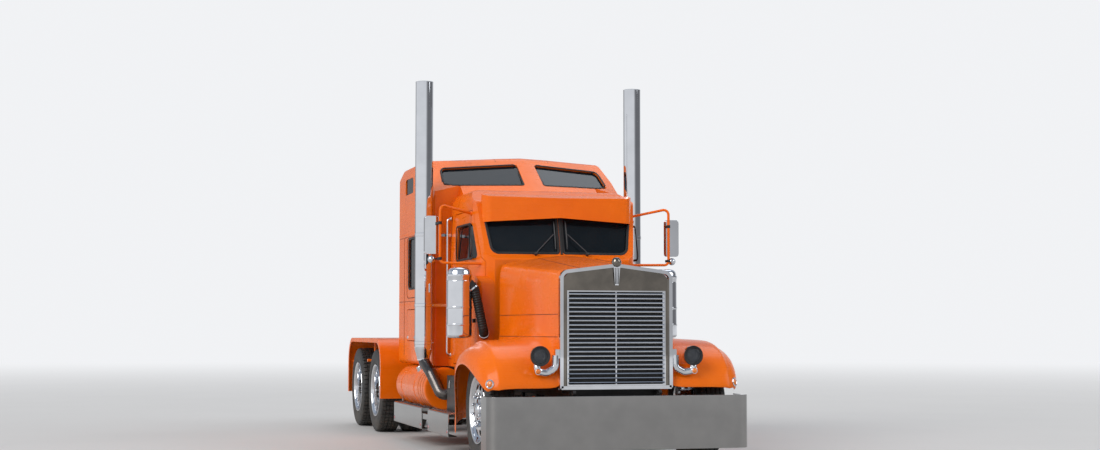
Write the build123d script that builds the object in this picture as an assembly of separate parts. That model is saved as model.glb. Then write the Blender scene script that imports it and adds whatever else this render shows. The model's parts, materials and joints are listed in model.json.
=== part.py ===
from build123d import *
import math
import os

# Heavy truck tractor unit with a long narrow bonnet and a walk-in sleeper, in millimetres.
# Ground is z = 0, the front axle is at y = 0, the front faces -Y and +X is the driver's side.

# Fits and gaps
MOVE_GAP = 7.0
PIN_PLAY = 0.4
SKIN = 12.0
WALL = 40.0

# Wheels and axles
TYRE_R = 500.0
TYRE_W = 262.0
RIM_R = 316.0
BEAD_R = 292.0
STEER_X = 1014.0
KINGPIN_X = 930.0
DUAL_X = (758.0, 1090.0)
DRIVE_Y = (5200.0, 6550.0)
SPINDLE_R = 42.0
HUB_BORE = SPINDLE_R + PIN_PLAY

# Chassis
RAIL_OUT = 430.0
RAIL_IN = 345.0
RAIL_LOW = 620.0
RAIL_TOP = 890.0
RAIL_FRONT = -640.0
RAIL_BACK = 7480.0

# Bumper
BUMPER_HALF = 1231.0
BUMPER_FRONT = -855.0
BUMPER_LOW = 168.0
BUMPER_TOP = 650.0

# Bonnet and grille
GRILLE_Y = -700.0
GRILLE_HALF = 535.0
GRILLE_LOW = 704.0
GRILLE_SIDE_TOP = 1775.0
GRILLE_PEAK = 1842.0
BAR_HALF = 455.0
BAR_COUNT = 21
BAR_PITCH = 40.0
BAR_LOW = 765.0
HOOD_BACK = 985.0
HOOD_BACK_HALF = 690.0
HOOD_PIVOT = (-700.0, 672.0)

# Cab and sleeper
CAB_HALF = 880.0
CAB_LOW = 800.0
CAB_FRONT = 1060.0
CAB_BACK = 2483.0
CAB_VEE = 60.0
BELT = 1780.0
DOOR_LOW = 880.0
FLOOR_TOP = 960.0
FLOOR_LOW = 930.0
SLEEPER_HALF = 1062.0
SLEEPER_LOW = 850.0
SLEEPER_BACK = 4500.0

# Side equipment
STACK = dict(x=1170.0, y=2404.0, r=95.0, top=3895.0, low=1040.0)
TANK = dict(x=955.0, z=615.0, r=225.0, y0=2290.0, y1=3960.0)
CLEANER = dict(x=1075.0, y=1060.0, r=124.0, low=1158.0, top=1859.0)


def rounded(plane, points):
    """Closed face of lines and arcs, each point (u, v) or (u, v, corner radius)."""
    count = len(points)
    bends = []
    for i in range(count):
        u, v = points[i][0], points[i][1]
        r = points[i][2] if len(points[i]) > 2 else 0.0
        if r == 0.0:
            bends.append(((u, v), None, (u, v)))
            continue
        a = Vector(points[i - 1][0] - u, points[i - 1][1] - v).normalized()
        nxt = points[(i + 1) % count]
        b = Vector(nxt[0] - u, nxt[1] - v).normalized()
        half = math.acos(max(-1.0, min(1.0, a.dot(b)))) / 2
        t = r / math.tan(half)
        mid = (a + b).normalized() * (r / math.sin(half) - r)
        start = (u + a.X * t, v + a.Y * t)
        stop = (u + b.X * t, v + b.Y * t)
        bends.append((start, (u + mid.X, v + mid.Y), stop))
    edges = []
    for i in range(count):
        start, mid, stop = bends[i]
        if mid is not None:
            ends = [plane.from_local_coords(Vector(*p, 0)) for p in (start, mid, stop)]
            edges.append(Edge.make_three_point_arc(*ends))
        nxt = bends[(i + 1) % count][0]
        if math.dist(stop, nxt) > 1e-6:
            a = plane.from_local_coords(Vector(*stop, 0))
            b = plane.from_local_coords(Vector(*nxt, 0))
            edges.append(Edge.make_line(a, b))
    return Face(Wire(edges))


def along_x(points, x0, x1, lean=0.0):
    """Outline in (y, z), carried from x0 to x1; lean moves the far end in y."""
    plane = Plane(origin=(x0, 0, 0), x_dir=(0, 1, 0), z_dir=(1, 0, 0))
    return Solid.extrude(rounded(plane, points), Vector(x1 - x0, lean, 0))


def along_y(points, y0, y1):
    """Outline in (x, z), carried from y0 to y1."""
    plane = Plane(origin=(0, y0, 0), x_dir=(1, 0, 0), z_dir=(0, -1, 0))
    return Solid.extrude(rounded(plane, points), Vector(0, y1 - y0, 0))


def along_z(points, z0, z1):
    """Outline in (x, y), carried from z0 to z1."""
    plane = Plane(origin=(0, 0, z0), x_dir=(1, 0, 0), z_dir=(0, 0, 1))
    return Solid.extrude(rounded(plane, points), Vector(0, 0, z1 - z0))


def block(x0, x1, y0, y1, z0, z1):
    """Plain box between two corners."""
    size = (abs(x1 - x0), abs(y1 - y0), abs(z1 - z0))
    return Pos((x0 + x1) / 2, (y0 + y1) / 2, (z0 + z1) / 2) * Box(*size)


def rod(a, b, r):
    """Round bar between two points."""
    a, b = Vector(*a), Vector(*b)
    plane = Plane(origin=a, z_dir=(b - a).normalized())
    return Solid.extrude(Face(Wire(plane * Edge.make_circle(r))), b - a)


def pipe(points, r, bend, bore=0.0):
    """Round tube through points, with its bends rounded to one radius."""
    line = FilletPolyline(*points, radius=bend)
    start = Plane(origin=line @ 0, z_dir=line % 0)
    skin = sweep(start * Circle(r), path=line)
    if bore:
        skin = skin - sweep(start * Circle(bore), path=line)
    return skin


def turned(points, x_out, z_hub, y_hub=0.0):
    """Outline in (radius, offset along +X) turned about a wheel axis."""
    plane = Plane(origin=(x_out, y_hub, z_hub), x_dir=(0, 0, 1), z_dir=(0, 1, 0))
    face = rounded(plane, points)
    return revolve(face, axis=Axis((x_out, y_hub, z_hub), (1, 0, 0)), revolution_arc=360)


def common(shape, *others):
    """What the shapes share, as one solid or a group of solids."""
    for other in others:
        found = shape.intersect(other)
        found = found if isinstance(found, (list, tuple)) else [found]
        solids = [solid for item in found for solid in item.solids()]
        shape = solids[0] if len(solids) == 1 else Compound(solids)
    return shape


def both(shape):
    """The shape and its mirror image on the other side."""
    return [shape, mirror(shape, about=Plane.YZ)]


PARTS = {}


def keep(name, shapes):
    """Stores the solids of one named piece."""
    flat = []
    for shape in shapes if isinstance(shapes, (list, tuple)) else [shapes]:
        flat.extend(shape.solids())
    PARTS[name] = Compound(children=flat) if len(flat) > 1 else flat[0]


def joined(shapes):
    """One shape out of several that touch."""
    total = shapes[0]
    for shape in shapes[1:]:
        total = total + shape
    return total


# Frame: two channel rails, cross members from a table, lugs for bumper and bonnet pins
rail = along_y([(RAIL_OUT, RAIL_LOW), (RAIL_OUT, RAIL_TOP), (RAIL_IN, RAIL_TOP), (RAIL_IN, RAIL_TOP - 9),
                (RAIL_OUT - 9, RAIL_TOP - 9), (RAIL_OUT - 9, RAIL_LOW + 9), (RAIL_IN, RAIL_LOW + 9),
                (RAIL_IN, RAIL_LOW)], RAIL_FRONT, RAIL_BACK)
bumper_leg = block(390, 425, RAIL_FRONT, RAIL_FRONT + 50, 360, RAIL_TOP - 20)
pin_lug = rod((392, HOOD_PIVOT[0], HOOD_PIVOT[1]), (422, HOOD_PIVOT[0], HOOD_PIVOT[1]), 24)
pin_arm = block(392, 422, HOOD_PIVOT[0], RAIL_FRONT + 10, HOOD_PIVOT[1] - 24, HOOD_PIVOT[1] + 24)
pin_hole = rod((380, HOOD_PIVOT[0], HOOD_PIVOT[1]), (430, HOOD_PIVOT[0], HOOD_PIVOT[1]), 12 + PIN_PLAY)
side = joined([rail, bumper_leg, pin_lug, pin_arm]) - pin_hole
# columns: centre y, depth in y, lowest z, highest z
CROSS = [(-560, 60, 640, 700), (1600, 80, 650, 860), (2900, 80, 650, 860), (4250, 80, 650, 860),
         (5875, 90, 640, 870), (7120, 80, 650, 860), (7470, 20, 630, 880)]
frame = joined(both(side))
for y, deep, low, high in CROSS:
    frame = frame + block(-RAIL_OUT + 5, RAIL_OUT - 5, y - deep / 2, y + deep / 2, low, high)
# Fifth-wheel base: two angle plates with a bored cheek each, on top of the rails
for y in (1350, 2380, 2620, 4380):
    pads = both(block(375, RAIL_OUT, y - 45, y + 45, RAIL_TOP - 9, FLOOR_LOW))
    frame = joined([frame] + pads)
PLATE = dict(y=5800.0, pivot_z=1010.0, top=1120.0, pin=24.0)
JAW_R = 25.6
for s in (-1, 1):
    foot = block(s * 350, s * RAIL_OUT, PLATE["y"] - 260, PLATE["y"] + 260, RAIL_TOP, RAIL_TOP + 14)
    cheek = along_x([(PLATE["y"] - 150, RAIL_TOP), (PLATE["y"] - 55, PLATE["pivot_z"] + 45, 30),
                     (PLATE["y"] + 55, PLATE["pivot_z"] + 45, 30), (PLATE["y"] + 150, RAIL_TOP)],
                    min(s * 395, s * 420), max(s * 395, s * 420))
    hole = rod((s * 380, PLATE["y"], PLATE["pivot_z"]), (s * 440, PLATE["y"], PLATE["pivot_z"]),
               PLATE["pin"] + PIN_PLAY)
    frame = frame + (joined([foot, cheek]) - hole)
# Rear light panel across the frame end
frame = frame + block(-1150, 1150, RAIL_BACK, RAIL_BACK + 12, 640, 860)
keep("frame_rails", frame)

# Fifth wheel: round-nosed plate with a throat, deck ribs and two pins
top = along_z([(-480, PLATE["y"] - 330, 120), (480, PLATE["y"] - 330, 120), (480, PLATE["y"] + 150, 60),
               (270, PLATE["y"] + 480, 40), (90, PLATE["y"] + 480), (JAW_R, PLATE["y"] + 130),
               (JAW_R, PLATE["y"]), (-JAW_R, PLATE["y"]), (-JAW_R, PLATE["y"] + 130), (-90, PLATE["y"] + 480),
               (-270, PLATE["y"] + 480, 40), (-480, PLATE["y"] + 150, 60)], PLATE["top"] - 40, PLATE["top"])
top = top - rod((0, PLATE["y"], PLATE["top"] - 60), (0, PLATE["y"], PLATE["top"] + 10), JAW_R)
plate = top
for s in (-1, 1):
    ear = along_x([(PLATE["y"] - 70, PLATE["top"] - 30), (PLATE["y"] - 36, PLATE["pivot_z"] - 36, 30),
                   (PLATE["y"] + 36, PLATE["pivot_z"] - 36, 30), (PLATE["y"] + 70, PLATE["top"] - 30)],
                  min(s * 350, s * 388), max(s * 350, s * 388))
    pin = rod((s * 350, PLATE["y"], PLATE["pivot_z"]), (s * 428, PLATE["y"], PLATE["pivot_z"]), PLATE["pin"])
    plate = plate + ear + pin
keep("fifth_wheel", plate)

# Bumper: deep square channel with rounded ends turned back, and its two brackets
U_OUT = [(-BUMPER_HALF, -560), (-BUMPER_HALF, BUMPER_FRONT, 110), (BUMPER_HALF, BUMPER_FRONT, 110),
         (BUMPER_HALF, -560)]


def bumper_band(inner, outer, z0, z1):
    """U-shaped band between two depths in from the outer face."""
    h0, h1 = BUMPER_HALF - outer, BUMPER_HALF - inner
    f0, f1 = BUMPER_FRONT + outer, BUMPER_FRONT + inner
    return along_z([(-h0, -560), (-h0, f0, 110 - outer), (h0, f0, 110 - outer), (h0, -560),
                    (h1, -560), (h1, f1, 110 - inner), (-h1, f1, 110 - inner), (-h1, -560)], z0, z1)


bumper = bumper_band(0, 55, BUMPER_LOW, BUMPER_TOP) - bumper_band(10, 60, BUMPER_LOW + 10, BUMPER_TOP - 10)
for s in (-1, 1):
    bumper = bumper + block(s * 350, s * 390, BUMPER_FRONT + 8, RAIL_FRONT + 45, 380, 600)
keep("front_bumper", bumper)

# Radiator: core over the rails and a lower tank between them
core = block(-430, 430, -560, -440, RAIL_TOP, 1690)
keep("radiator", joined([core, block(-335, 335, -560, -440, 700, RAIL_TOP)]))

# Engine: one block at its real place, on four feet to the rails
engine = block(-330, 330, 120, 1040, 640, 1560)
for s in (-1, 1):
    for y in (250, 850):
        engine = engine + block(s * 320, s * (RAIL_OUT - 9), y, y + 90, 720, 790)
keep("engine_block", engine + block(-170, 170, 1030, 1540, 600, 880))

# Bonnet: tapering box with a rounded top, on the same body as the two swept fenders


def hood_section(y, half, low, side_top, peak, r):
    """Closed bonnet section at one y."""
    plane = Plane(origin=(0, y, 0), x_dir=(1, 0, 0), z_dir=(0, -1, 0))
    pts = [(-half, low), (half, low), (half, side_top, r), (0, peak, r * 3), (-half, side_top, r)]
    return rounded(plane, pts).outer_wire()


def hood_box(inset, y0, y1):
    """Ruled bonnet body, drawn in by an inset all round."""
    def at(y):
        t = (y - GRILLE_Y) / (HOOD_BACK - GRILLE_Y)
        half = GRILLE_HALF - 13 + t * (HOOD_BACK_HALF - GRILLE_HALF + 13) - inset
        side_top = GRILLE_SIDE_TOP - 14 + t * 145 - inset
        peak = GRILLE_PEAK - 14 + t * 160 - inset
        return hood_section(y, half, 700, side_top, peak, 90 - inset / 2)
    return Solid.make_loft([at(y0), at(y1)], True)


HOOD_FRONT = GRILLE_Y + 45
hood_skin = hood_box(0, HOOD_FRONT, HOOD_BACK) - hood_box(SKIN, HOOD_FRONT - 1, HOOD_BACK + 1)
hood_skin = hood_skin - block(-800, 800, HOOD_FRONT - 1, HOOD_BACK + 1, 690, 716)
# Side panels stop above the frame behind the fenders
for s in (-1, 1):
    hood_skin = hood_skin - block(s * 400, s * 800, 640, HOOD_BACK + 5, 690, 1120)

FENDER_HALF = 1278.0
FENDER_TAIL = 957.0
TAIL_FOOT = 905.0


def fender(i, opened):
    """One swept fender as the common part of side, front and plan outlines; opened runs it out below."""
    foot = 100 if opened else 195
    lip = 600 if opened else 677
    tail = FENDER_TAIL + (35 if opened else 0)
    heel = TAIL_FOOT + (35 if opened else 0)
    inner = 490 if opened else 500
    side_view = [(-672 + i, lip), (-672 + i, 700 - i * 0.3, 10), (-330 + i * 0.7, 1050 - i * 0.8, 420),
                 (-60, 1156 - i, 300), (300, 1146 - i, 160), (600 - i, 980 - i, 260), (640 - i, 560, 120),
                 (tail, 392 - i, 40), (heel, foot), (560, foot), (560, lip)]
    front_view = [(inner, 90), (inner, 1120 - i), (700, 1165 - i, 200), (1110 - i * 0.4, 1162 - i, 110),
                  (1212 - i, 1040 - i, 160), (FENDER_HALF - i, 860 - i, 300), (FENDER_HALF - i, 90)]
    plan_view = [(inner, -690), (1097 - i, -690, 30), (1205 - i, -555 + i * 0.5, 90), (1268 - i, -150, 600),
                 (FENDER_HALF - i, 120, 300), (1185 - i, 620, 400), (1197 - i, 1000), (inner, 1000)]
    body = along_x(side_view, inner, 1300)
    return common(body, along_y(front_view, -700, 1000), along_z(plan_view, 80, 1200))


outer = fender(0, False)
hollow = fender(SKIN, True)
arch = along_x([(-605, 60), (-605, 560, 180), (-435, 830, 240), (0, 934, 500), (425, 834, 260), (600, 570, 260),
                (585, 60)], 1000, 1320)
shell = outer - hollow - arch
fenders = []
for wing in both(shell):
    fenders.append(wing - hood_box(SKIN, HOOD_FRONT - 60, HOOD_BACK))
hood = joined([hood_skin] + fenders)
hood = hood - block(-GRILLE_HALF - 1, GRILLE_HALF + 1, GRILLE_Y - 20, HOOD_FRONT, 600, 1900)
for s in (-1, 1):
    hood = hood + rod((s * 372, HOOD_PIVOT[0], HOOD_PIVOT[1]), (s * 470, HOOD_PIVOT[0], HOOD_PIVOT[1]), 12)
    hood = hood + block(s * 440, s * 470, HOOD_PIVOT[0] - 14, HOOD_FRONT + 30, HOOD_PIVOT[1] - 14,
                        HOOD_PIVOT[1] + 26)
    hood = hood + block(s * 440, s * 530, HOOD_FRONT + 4, HOOD_FRONT + 30, HOOD_PIVOT[1] + 10,
                        HOOD_PIVOT[1] + 60)
keep("hood", hood)

# Grille: peaked surround with a plate over the bars, bars by pitch, three posts behind them
FIELD_TOP = BAR_LOW + BAR_PITCH * (BAR_COUNT - 1) + 25
shape = [(-GRILLE_HALF, GRILLE_LOW, 12), (GRILLE_HALF, GRILLE_LOW, 12), (GRILLE_HALF, GRILLE_SIDE_TOP, 85),
         (0, GRILLE_PEAK, 500), (-GRILLE_HALF, GRILLE_SIDE_TOP, 85)]
grille = along_y(shape, GRILLE_Y, GRILLE_Y + 45)
grille = grille - along_y([(-BAR_HALF, BAR_LOW - 22, 10), (BAR_HALF, BAR_LOW - 22, 10),
                           (BAR_HALF, FIELD_TOP, 10), (-BAR_HALF, FIELD_TOP, 10)], GRILLE_Y - 5, GRILLE_Y + 60)
for i in range(BAR_COUNT):
    z = BAR_LOW + BAR_PITCH * i
    grille = grille + block(-BAR_HALF - 2, BAR_HALF + 2, GRILLE_Y + 6, GRILLE_Y + 22, z - 11, z + 11)
for x in (-BAR_HALF + 6, 0, BAR_HALF - 6):
    grille = grille + block(x - 8, x + 8, GRILLE_Y + 20, GRILLE_Y + 30, BAR_LOW - 24, FIELD_TOP + 2)
keep("grille", grille)

# Headlights: round pods on arms from the grille sides
LAMP = dict(x=726.0, z=1006.0, r=91.0, y=-735.0)
lamps = []
for s in (-1, 1):
    x = s * LAMP["x"]
    pod = rod((x, LAMP["y"], LAMP["z"]), (x, LAMP["y"] + 90, LAMP["z"]), LAMP["r"])
    bowl = rod((x, LAMP["y"] + 80, LAMP["z"]), (x, LAMP["y"] + 130, LAMP["z"]), LAMP["r"] - 22)
    arm = pipe([(x, LAMP["y"] + 50, LAMP["z"] - 70), (x, LAMP["y"] + 50, LAMP["z"] - 152),
                (s * GRILLE_HALF + s * 34, LAMP["y"] + 58, LAMP["z"] - 152),
                (s * GRILLE_HALF + s * 34, LAMP["y"] + 58, LAMP["z"] + 10)], 24, 60)
    foot = block(s * GRILLE_HALF, s * (GRILLE_HALF + 40), LAMP["y"] + 40, LAMP["y"] + 76,
                 LAMP["z"] - 20, LAMP["z"] + 60)
    arm = arm + foot
    lamps.append(joined([pod, bowl, arm]))
keep("headlights", lamps)

# Cab: hollow shell from side and front outlines, with a shallow vee in its front
CAB_SIDE = [(CAB_FRONT, 780), (CAB_FRONT, 1950, 30), (1135, 1995, 20), (1300, 2540, 120), (1700, 2690, 600),
            (CAB_BACK + 70, 2722), (CAB_BACK + 70, 780)]
CAB_ROOM = [(CAB_FRONT + WALL, FLOOR_TOP), (CAB_FRONT + WALL, 1930, 30), (1172, 1975, 20),
            (1330, 2500, 90), (1715, 2650, 560), (CAB_BACK + 70, 2682), (CAB_BACK + 70, FLOOR_TOP)]


def half_vee(points, low_x=0.0, half=CAB_HALF + 10):
    """Side outline swept back with x, for the +X half."""
    lean = CAB_VEE * half / CAB_HALF
    return along_x(points, low_x, half, lean)


def cab_front(half, low, wall):
    """Front outline of the +X half of the cab."""
    return [(-1, low), (half, low), (half, 1990, 300), (half - 34, 2690 - wall, 150 - wall / 2),
            (0, 2732 - wall), (-1, 2732 - wall)]


def corner_plan(inset):
    """Plan of the +X half above the belt, with the front corner swept back."""
    x0, y0 = 700 - inset * 0.75, 1105 + inset * 0.65
    x1, y1 = 785 - inset * 0.98, 1200 + inset * 0.33
    x2, y2 = 900 - inset * 0.95, 1563 + inset * 0.3
    return [(-1, 900), (x0, 900), (x0, y0), (x1, y1, 200 - inset), (x2, y2), (x2, 2700), (-1, 2700)]


def low_cab(inset, low):
    """Full-width lower body with a rounded shelf beside the bonnet."""
    side = [(CAB_FRONT + inset, low), (CAB_FRONT + inset, BELT - inset, 95 - inset), (1800, BELT - inset),
            (1800, low)]
    half = CAB_HALF - inset
    plan = [(-1, CAB_FRONT + inset - 1), (half, CAB_FRONT + inset + CAB_VEE - 1, 70 - inset), (half, 1790),
            (-1, 1790)]
    return common(half_vee(side), along_z(plan, low, BELT + 1))


outer = common(half_vee(CAB_SIDE), along_y(cab_front(CAB_HALF, CAB_LOW, 0), 1000, CAB_BACK),
               along_z(corner_plan(0), CAB_LOW - 1, 2800))
outer = outer + low_cab(0, CAB_LOW)
room = common(half_vee(CAB_ROOM), along_y(cab_front(CAB_HALF - WALL, FLOOR_TOP, WALL), 1000, CAB_BACK + 60),
              along_z(corner_plan(WALL), FLOOR_TOP - 1, 2800))
room = room + low_cab(WALL, FLOOR_TOP)
cab_solid = outer
under = block(-1, CAB_HALF - WALL, CAB_FRONT + WALL + CAB_VEE, CAB_BACK + 1, CAB_LOW - 1, FLOOR_LOW)
tunnel = block(-1, 460, CAB_FRONT - 1, CAB_BACK + 1, CAB_LOW - 1, FLOOR_LOW)
tank_relief = block(600, CAB_HALF + 10, 2180, CAB_BACK + 1, CAB_LOW - 1, SLEEPER_LOW)
wall = outer - room - under - tunnel - tank_relief

DOOR = [(1192, DOOR_LOW, 40), (1192, 1925, 20), (1270, 1980, 60), (1420, 2460, 70), (2300, 2460, 70),
        (2300, DOOR_LOW, 60)]
DOOR_WINDOW = [(1330, 1962, 40), (1438, 2318, 40), (2112, 2318, 60), (2112, 1962, 50)]


def grown(points, by):
    """The same outline moved out by a distance, corner by corner."""
    count = len(points)
    out = []
    area = sum(points[i - 1][0] * points[i][1] - points[i][0] * points[i - 1][1] for i in range(count))
    turn = 1 if area > 0 else -1
    for i in range(count):
        p, q, n = points[i - 1], points[i], points[(i + 1) % count]
        a = Vector(q[0] - p[0], q[1] - p[1]).normalized()
        b = Vector(n[0] - q[0], n[1] - q[1]).normalized()
        na = Vector(a.Y, -a.X) * turn
        nb = Vector(b.Y, -b.X) * turn
        m = (na + nb) * (by / (1 + na.dot(nb)))
        bend = 1 if (a.X * b.Y - a.Y * b.X) * turn > 0 else -1
        r = q[2] if len(q) > 2 else 0
        out.append((q[0] + m.X, q[1] + m.Y, max(0.5, r + by * bend)) if r else (q[0] + m.X, q[1] + m.Y))
    return out


sill = block(600, CAB_HALF - WALL - 0.1, 1100, 2400, 800, 1100)
HINGE = (CAB_HALF, 1194.5)
# columns: lowest z, highest z
HINGES = [(1000, 1080), (1600, 1680)]
door = common(wall, along_x(grown(DOOR, -MOVE_GAP), 700, 900)) - along_x(DOOR_WINDOW, 700, 900) - sill
wall = wall - (along_x(DOOR, 700, 900) - sill.moved(Location((-MOVE_GAP - 2, 0, 0))))
for z0, z1 in HINGES:
    barrel = rod((*HINGE, z0), (*HINGE, z1), 9)
    web = block(HINGE[0] - 9, HINGE[0], HINGE[1], DOOR[0][0] + MOVE_GAP + 4, z0, z1)
    door = door + barrel + web
    wall = wall - rod((*HINGE, z0 - MOVE_GAP), (*HINGE, z1 + MOVE_GAP), 9 + MOVE_GAP)
# Sides of the door thicken to a lip that carries the glass
glass_band = common(outer - room, along_x(DOOR_WINDOW, 700, 900))
shift = common(glass_band.moved(Location((-16, 0, 0))), glass_band.moved(Location((16, 0, 0))))

# Windscreen plane of the +X half: base line runs back with x, face leans with the pillar
base = Vector(0, 1135, 1995)
across = Vector(CAB_HALF, CAB_VEE, 0).normalized()
upward = Vector(0, 165, 545).normalized()
outward = across.cross(upward).normalized()
if outward.Y > 0:
    outward = outward * -1
screen_plane = Plane(origin=base, x_dir=across, z_dir=outward)
if (screen_plane.y_dir.Z) < 0:
    screen_plane = Plane(origin=base, x_dir=across * -1, z_dir=outward)
SCREEN = [(26, 18, 25), (712, 18, 85), (770, 420, 60), (26, 420, 25)]
if screen_plane.x_dir.X < 0:
    SCREEN = [(-p[0], p[1], p[2]) for p in SCREEN]


def on_screen(points, d0, d1):
    """Outline on the windscreen plane, from depth d0 to depth d1 along its outward normal."""
    p = Plane(origin=base + outward * d0, x_dir=screen_plane.x_dir, z_dir=outward)
    return Solid.extrude(rounded(p, points), outward * (d1 - d0))


wall = wall - on_screen(SCREEN, -90, 60)
pane = on_screen(SCREEN, -26, -18)
cab = joined(both(wall))
keep("cab_body", cab)

# Sleeper: lofted hull whose raised front is raked and swept back over the cab roof, open underneath


def sleeper_wire(y, side_z, shoulder, top, peak, low, inset):
    """Sleeper section with named shoulder points."""
    plane = Plane(origin=(0, y, 0), x_dir=(1, 0, 0), z_dir=(0, -1, 0))
    h = SLEEPER_HALF - inset
    sx, sz = shoulder
    tx, tz = top
    i = inset
    foot = 60 if i == 0 else 20
    pts = [(-h, low, foot), (h, low, foot), (h, side_z, 60), (sx - i, sz - i / 3, 60), (tx - i * 0.8, tz - i, 60),
           (0, peak - i), (-tx + i * 0.8, tz - i, 60), (-sx + i, sz - i / 3, 60), (-h, side_z, 60)]
    return rounded(plane, pts).outer_wire()


CAP_FRONT = 1930.0
# columns: y, height of the vertical side, shoulder (x, z), roof edge (x, z), crown height
SLEEPER = [(CAP_FRONT, 2540, (990, 2730), (880, 3010), 3110),
           (3350, 2700, (1058, 2990), (985, 3135), 3165),
           (SLEEPER_BACK, 2700, (1058, 2990), (985, 3135), 3160)]


def sleeper_body(inset, low, y1):
    """Sleeper hull up to y1."""
    ys = [CAP_FRONT, SLEEPER[1][0], y1]
    wires = []
    for y, row in zip(ys, SLEEPER):
        wires.append(sleeper_wire(y, row[1], row[2], row[3], row[4], low, inset))
    first = Solid.make_loft(wires[:2], True)
    return first + Solid.make_loft(wires[1:], True)


# Raked front: runs back 1.53 per unit of height and 0.3934 per unit of half width
RAKE = 1.53
SWEEP = 0.3934
RAKE_BASE = (2070.0, 2722.0)
CAP_LOW = 2685.0
CAP_HALF = 760.0


def raked(inset, low):
    """Half hull behind the raked, swept-back front."""
    back = inset * math.sqrt(1 + RAKE ** 2 + SWEEP ** 2)
    y_low = RAKE_BASE[0] + back + (low - RAKE_BASE[1]) * RAKE
    top = 3125 - inset
    y_top = RAKE_BASE[0] + back + (top - RAKE_BASE[1]) * RAKE
    side = [(y_low, low), (y_top, top, 250), (3350, 3200 - inset), (4600, 3200 - inset), (4600, low)]
    return along_x(side, 0, 1100, SWEEP * 1100)


low_box = along_z([(0, CAB_BACK), (SLEEPER_HALF, CAB_BACK, 45), (SLEEPER_HALF, 4600), (0, 4600)], 700, CAP_LOW + 1)
beside = block(CAP_HALF, 1200, 1900, CAB_BACK, 2500, 3300)
half_hull = common(sleeper_body(0, SLEEPER_LOW, SLEEPER_BACK), raked(0, CAP_LOW) + low_box) - beside - cab_solid
half_hull = common(half_hull, along_z([(0, 1900), (1100, 1900), (1100, 4000), (SLEEPER_HALF, 4000),
                                       (SLEEPER_HALF, SLEEPER_BACK, 70), (0, SLEEPER_BACK)], 700, 3300))
low_room = block(0, SLEEPER_HALF, CAB_BACK + WALL, 4600, 700, CAP_LOW + 1 - WALL)
under_cap = block(-1, 1200, 1900, CAB_BACK + WALL, 700, 2732 + WALL)
beside_room = block(CAP_HALF - WALL, 1200, 1900, CAB_BACK + WALL, 2500, 3300)
space = common(sleeper_body(WALL, FLOOR_TOP, SLEEPER_BACK - WALL), raked(WALL, CAP_LOW - WALL) + low_room)
half_hull = half_hull - (space - under_cap - beside_room)
hull = joined(both(half_hull))
hull = hull - block(-SLEEPER_HALF + WALL, SLEEPER_HALF - WALL, CAB_BACK + WALL, SLEEPER_BACK - WALL,
                    CAB_LOW - 1, FLOOR_LOW)
hull = hull - block(-460, 460, CAB_BACK - 1, SLEEPER_BACK + 1, CAB_LOW - 1, FLOOR_LOW)
hull = hull - along_y([(-360, FLOOR_TOP), (360, FLOOR_TOP), (360, 2450, 120), (-360, 2450, 120)],
                      CAB_BACK - 1, CAB_BACK + WALL + 1)
rake_across = Vector(1, SWEEP, 0).normalized()
rake_out = rake_across.cross(Vector(0, RAKE, 1)).normalized()
rake_base = Vector(0, *RAKE_BASE)


def on_rake(points, d0, d1):
    """Outline given in (x, z, radius) on the raked front, from depth d0 to d1 along its outward normal."""
    plane = Plane(origin=rake_base + rake_out * d0, x_dir=rake_across, z_dir=rake_out)
    flat = []
    for x, z, r in points:
        p = Vector(x, RAKE_BASE[0] + SWEEP * x + RAKE * (z - RAKE_BASE[1]), z) - rake_base
        flat.append((p.dot(plane.x_dir), p.dot(plane.y_dir), r))
    return Solid.extrude(rounded(plane, flat), rake_out * (d1 - d0))


# columns: x, z, corner radius
FRONT_PANE = [(105, 2792, 30), (97, 3050, 40), (900, 3012, 60), (925, 2800, 40)]
# columns: outline in (y, z)
SIDE_PANES = [[(3420, 1705, 60), (3420, 2280, 60), (3850, 2280, 60), (3850, 1705, 60)],
              [(3600, 2795, 40), (3600, 2975, 40), (4070, 2975, 40), (4070, 2795, 40)]]
panes = []
cut = on_rake(FRONT_PANE, -60, 30)
pane_front = on_rake(FRONT_PANE, -28, -20)
for s in (1, -1):
    hull = hull - (cut if s > 0 else mirror(cut, about=Plane.YZ))
    panes.append(pane_front if s > 0 else mirror(pane_front, about=Plane.YZ))
    for row in SIDE_PANES:
        hull = hull - along_x(row, min(s * 960, s * 1100), max(s * 960, s * 1100))
        panes.append(along_x(row, min(s * 1040, s * 1048), max(s * 1040, s * 1048)))
BAGGAGE = [(3400, 1108, 30), (3400, 1470, 30), (3930, 1470, 30), (3930, 1108, 30)]
lids = []
for s in (1, -1):
    x0, x1 = min(s * 1000, s * 1080), max(s * 1000, s * 1080)
    lids.append(common(hull, along_x(grown(BAGGAGE, -MOVE_GAP), x0, x1)))
    hull = hull - along_x(BAGGAGE, x0, x1)
keep("sleeper_body", hull)
keep("baggage_door_left", lids[0])
keep("baggage_door_right", lids[1])
keep("windows", both(pane) + panes)

keep("door_left", door)
keep("door_right", mirror(door, about=Plane.YZ))
keep("door_glass_left", shift)
keep("door_glass_right", mirror(shift, about=Plane.YZ))

# Sun visor: shallow vee plate with a top and closed ends
VISOR = dict(front=1163.0, half=790.0, skin=10.0, low_mid=2373.0, low_end=2325.0, top=2575.0, back=2618.0)


def visor_body(i):
    """Half of the visor's outer or inner form."""
    half = VISOR["half"] - i
    plan = [(-1, VISOR["front"] + i), (half - 48, VISOR["front"] + i + 54, 70 - i), (half, 1300), (half, 1420),
            (-1, 1420)]
    side = [(1100, 2280), (1100, VISOR["top"] - i - 15), (1345, VISOR["back"] - i), (1345, 2280)]
    return common(along_z(plan, 2280, 2650), along_x(side, 0, 800, 0))


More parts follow.
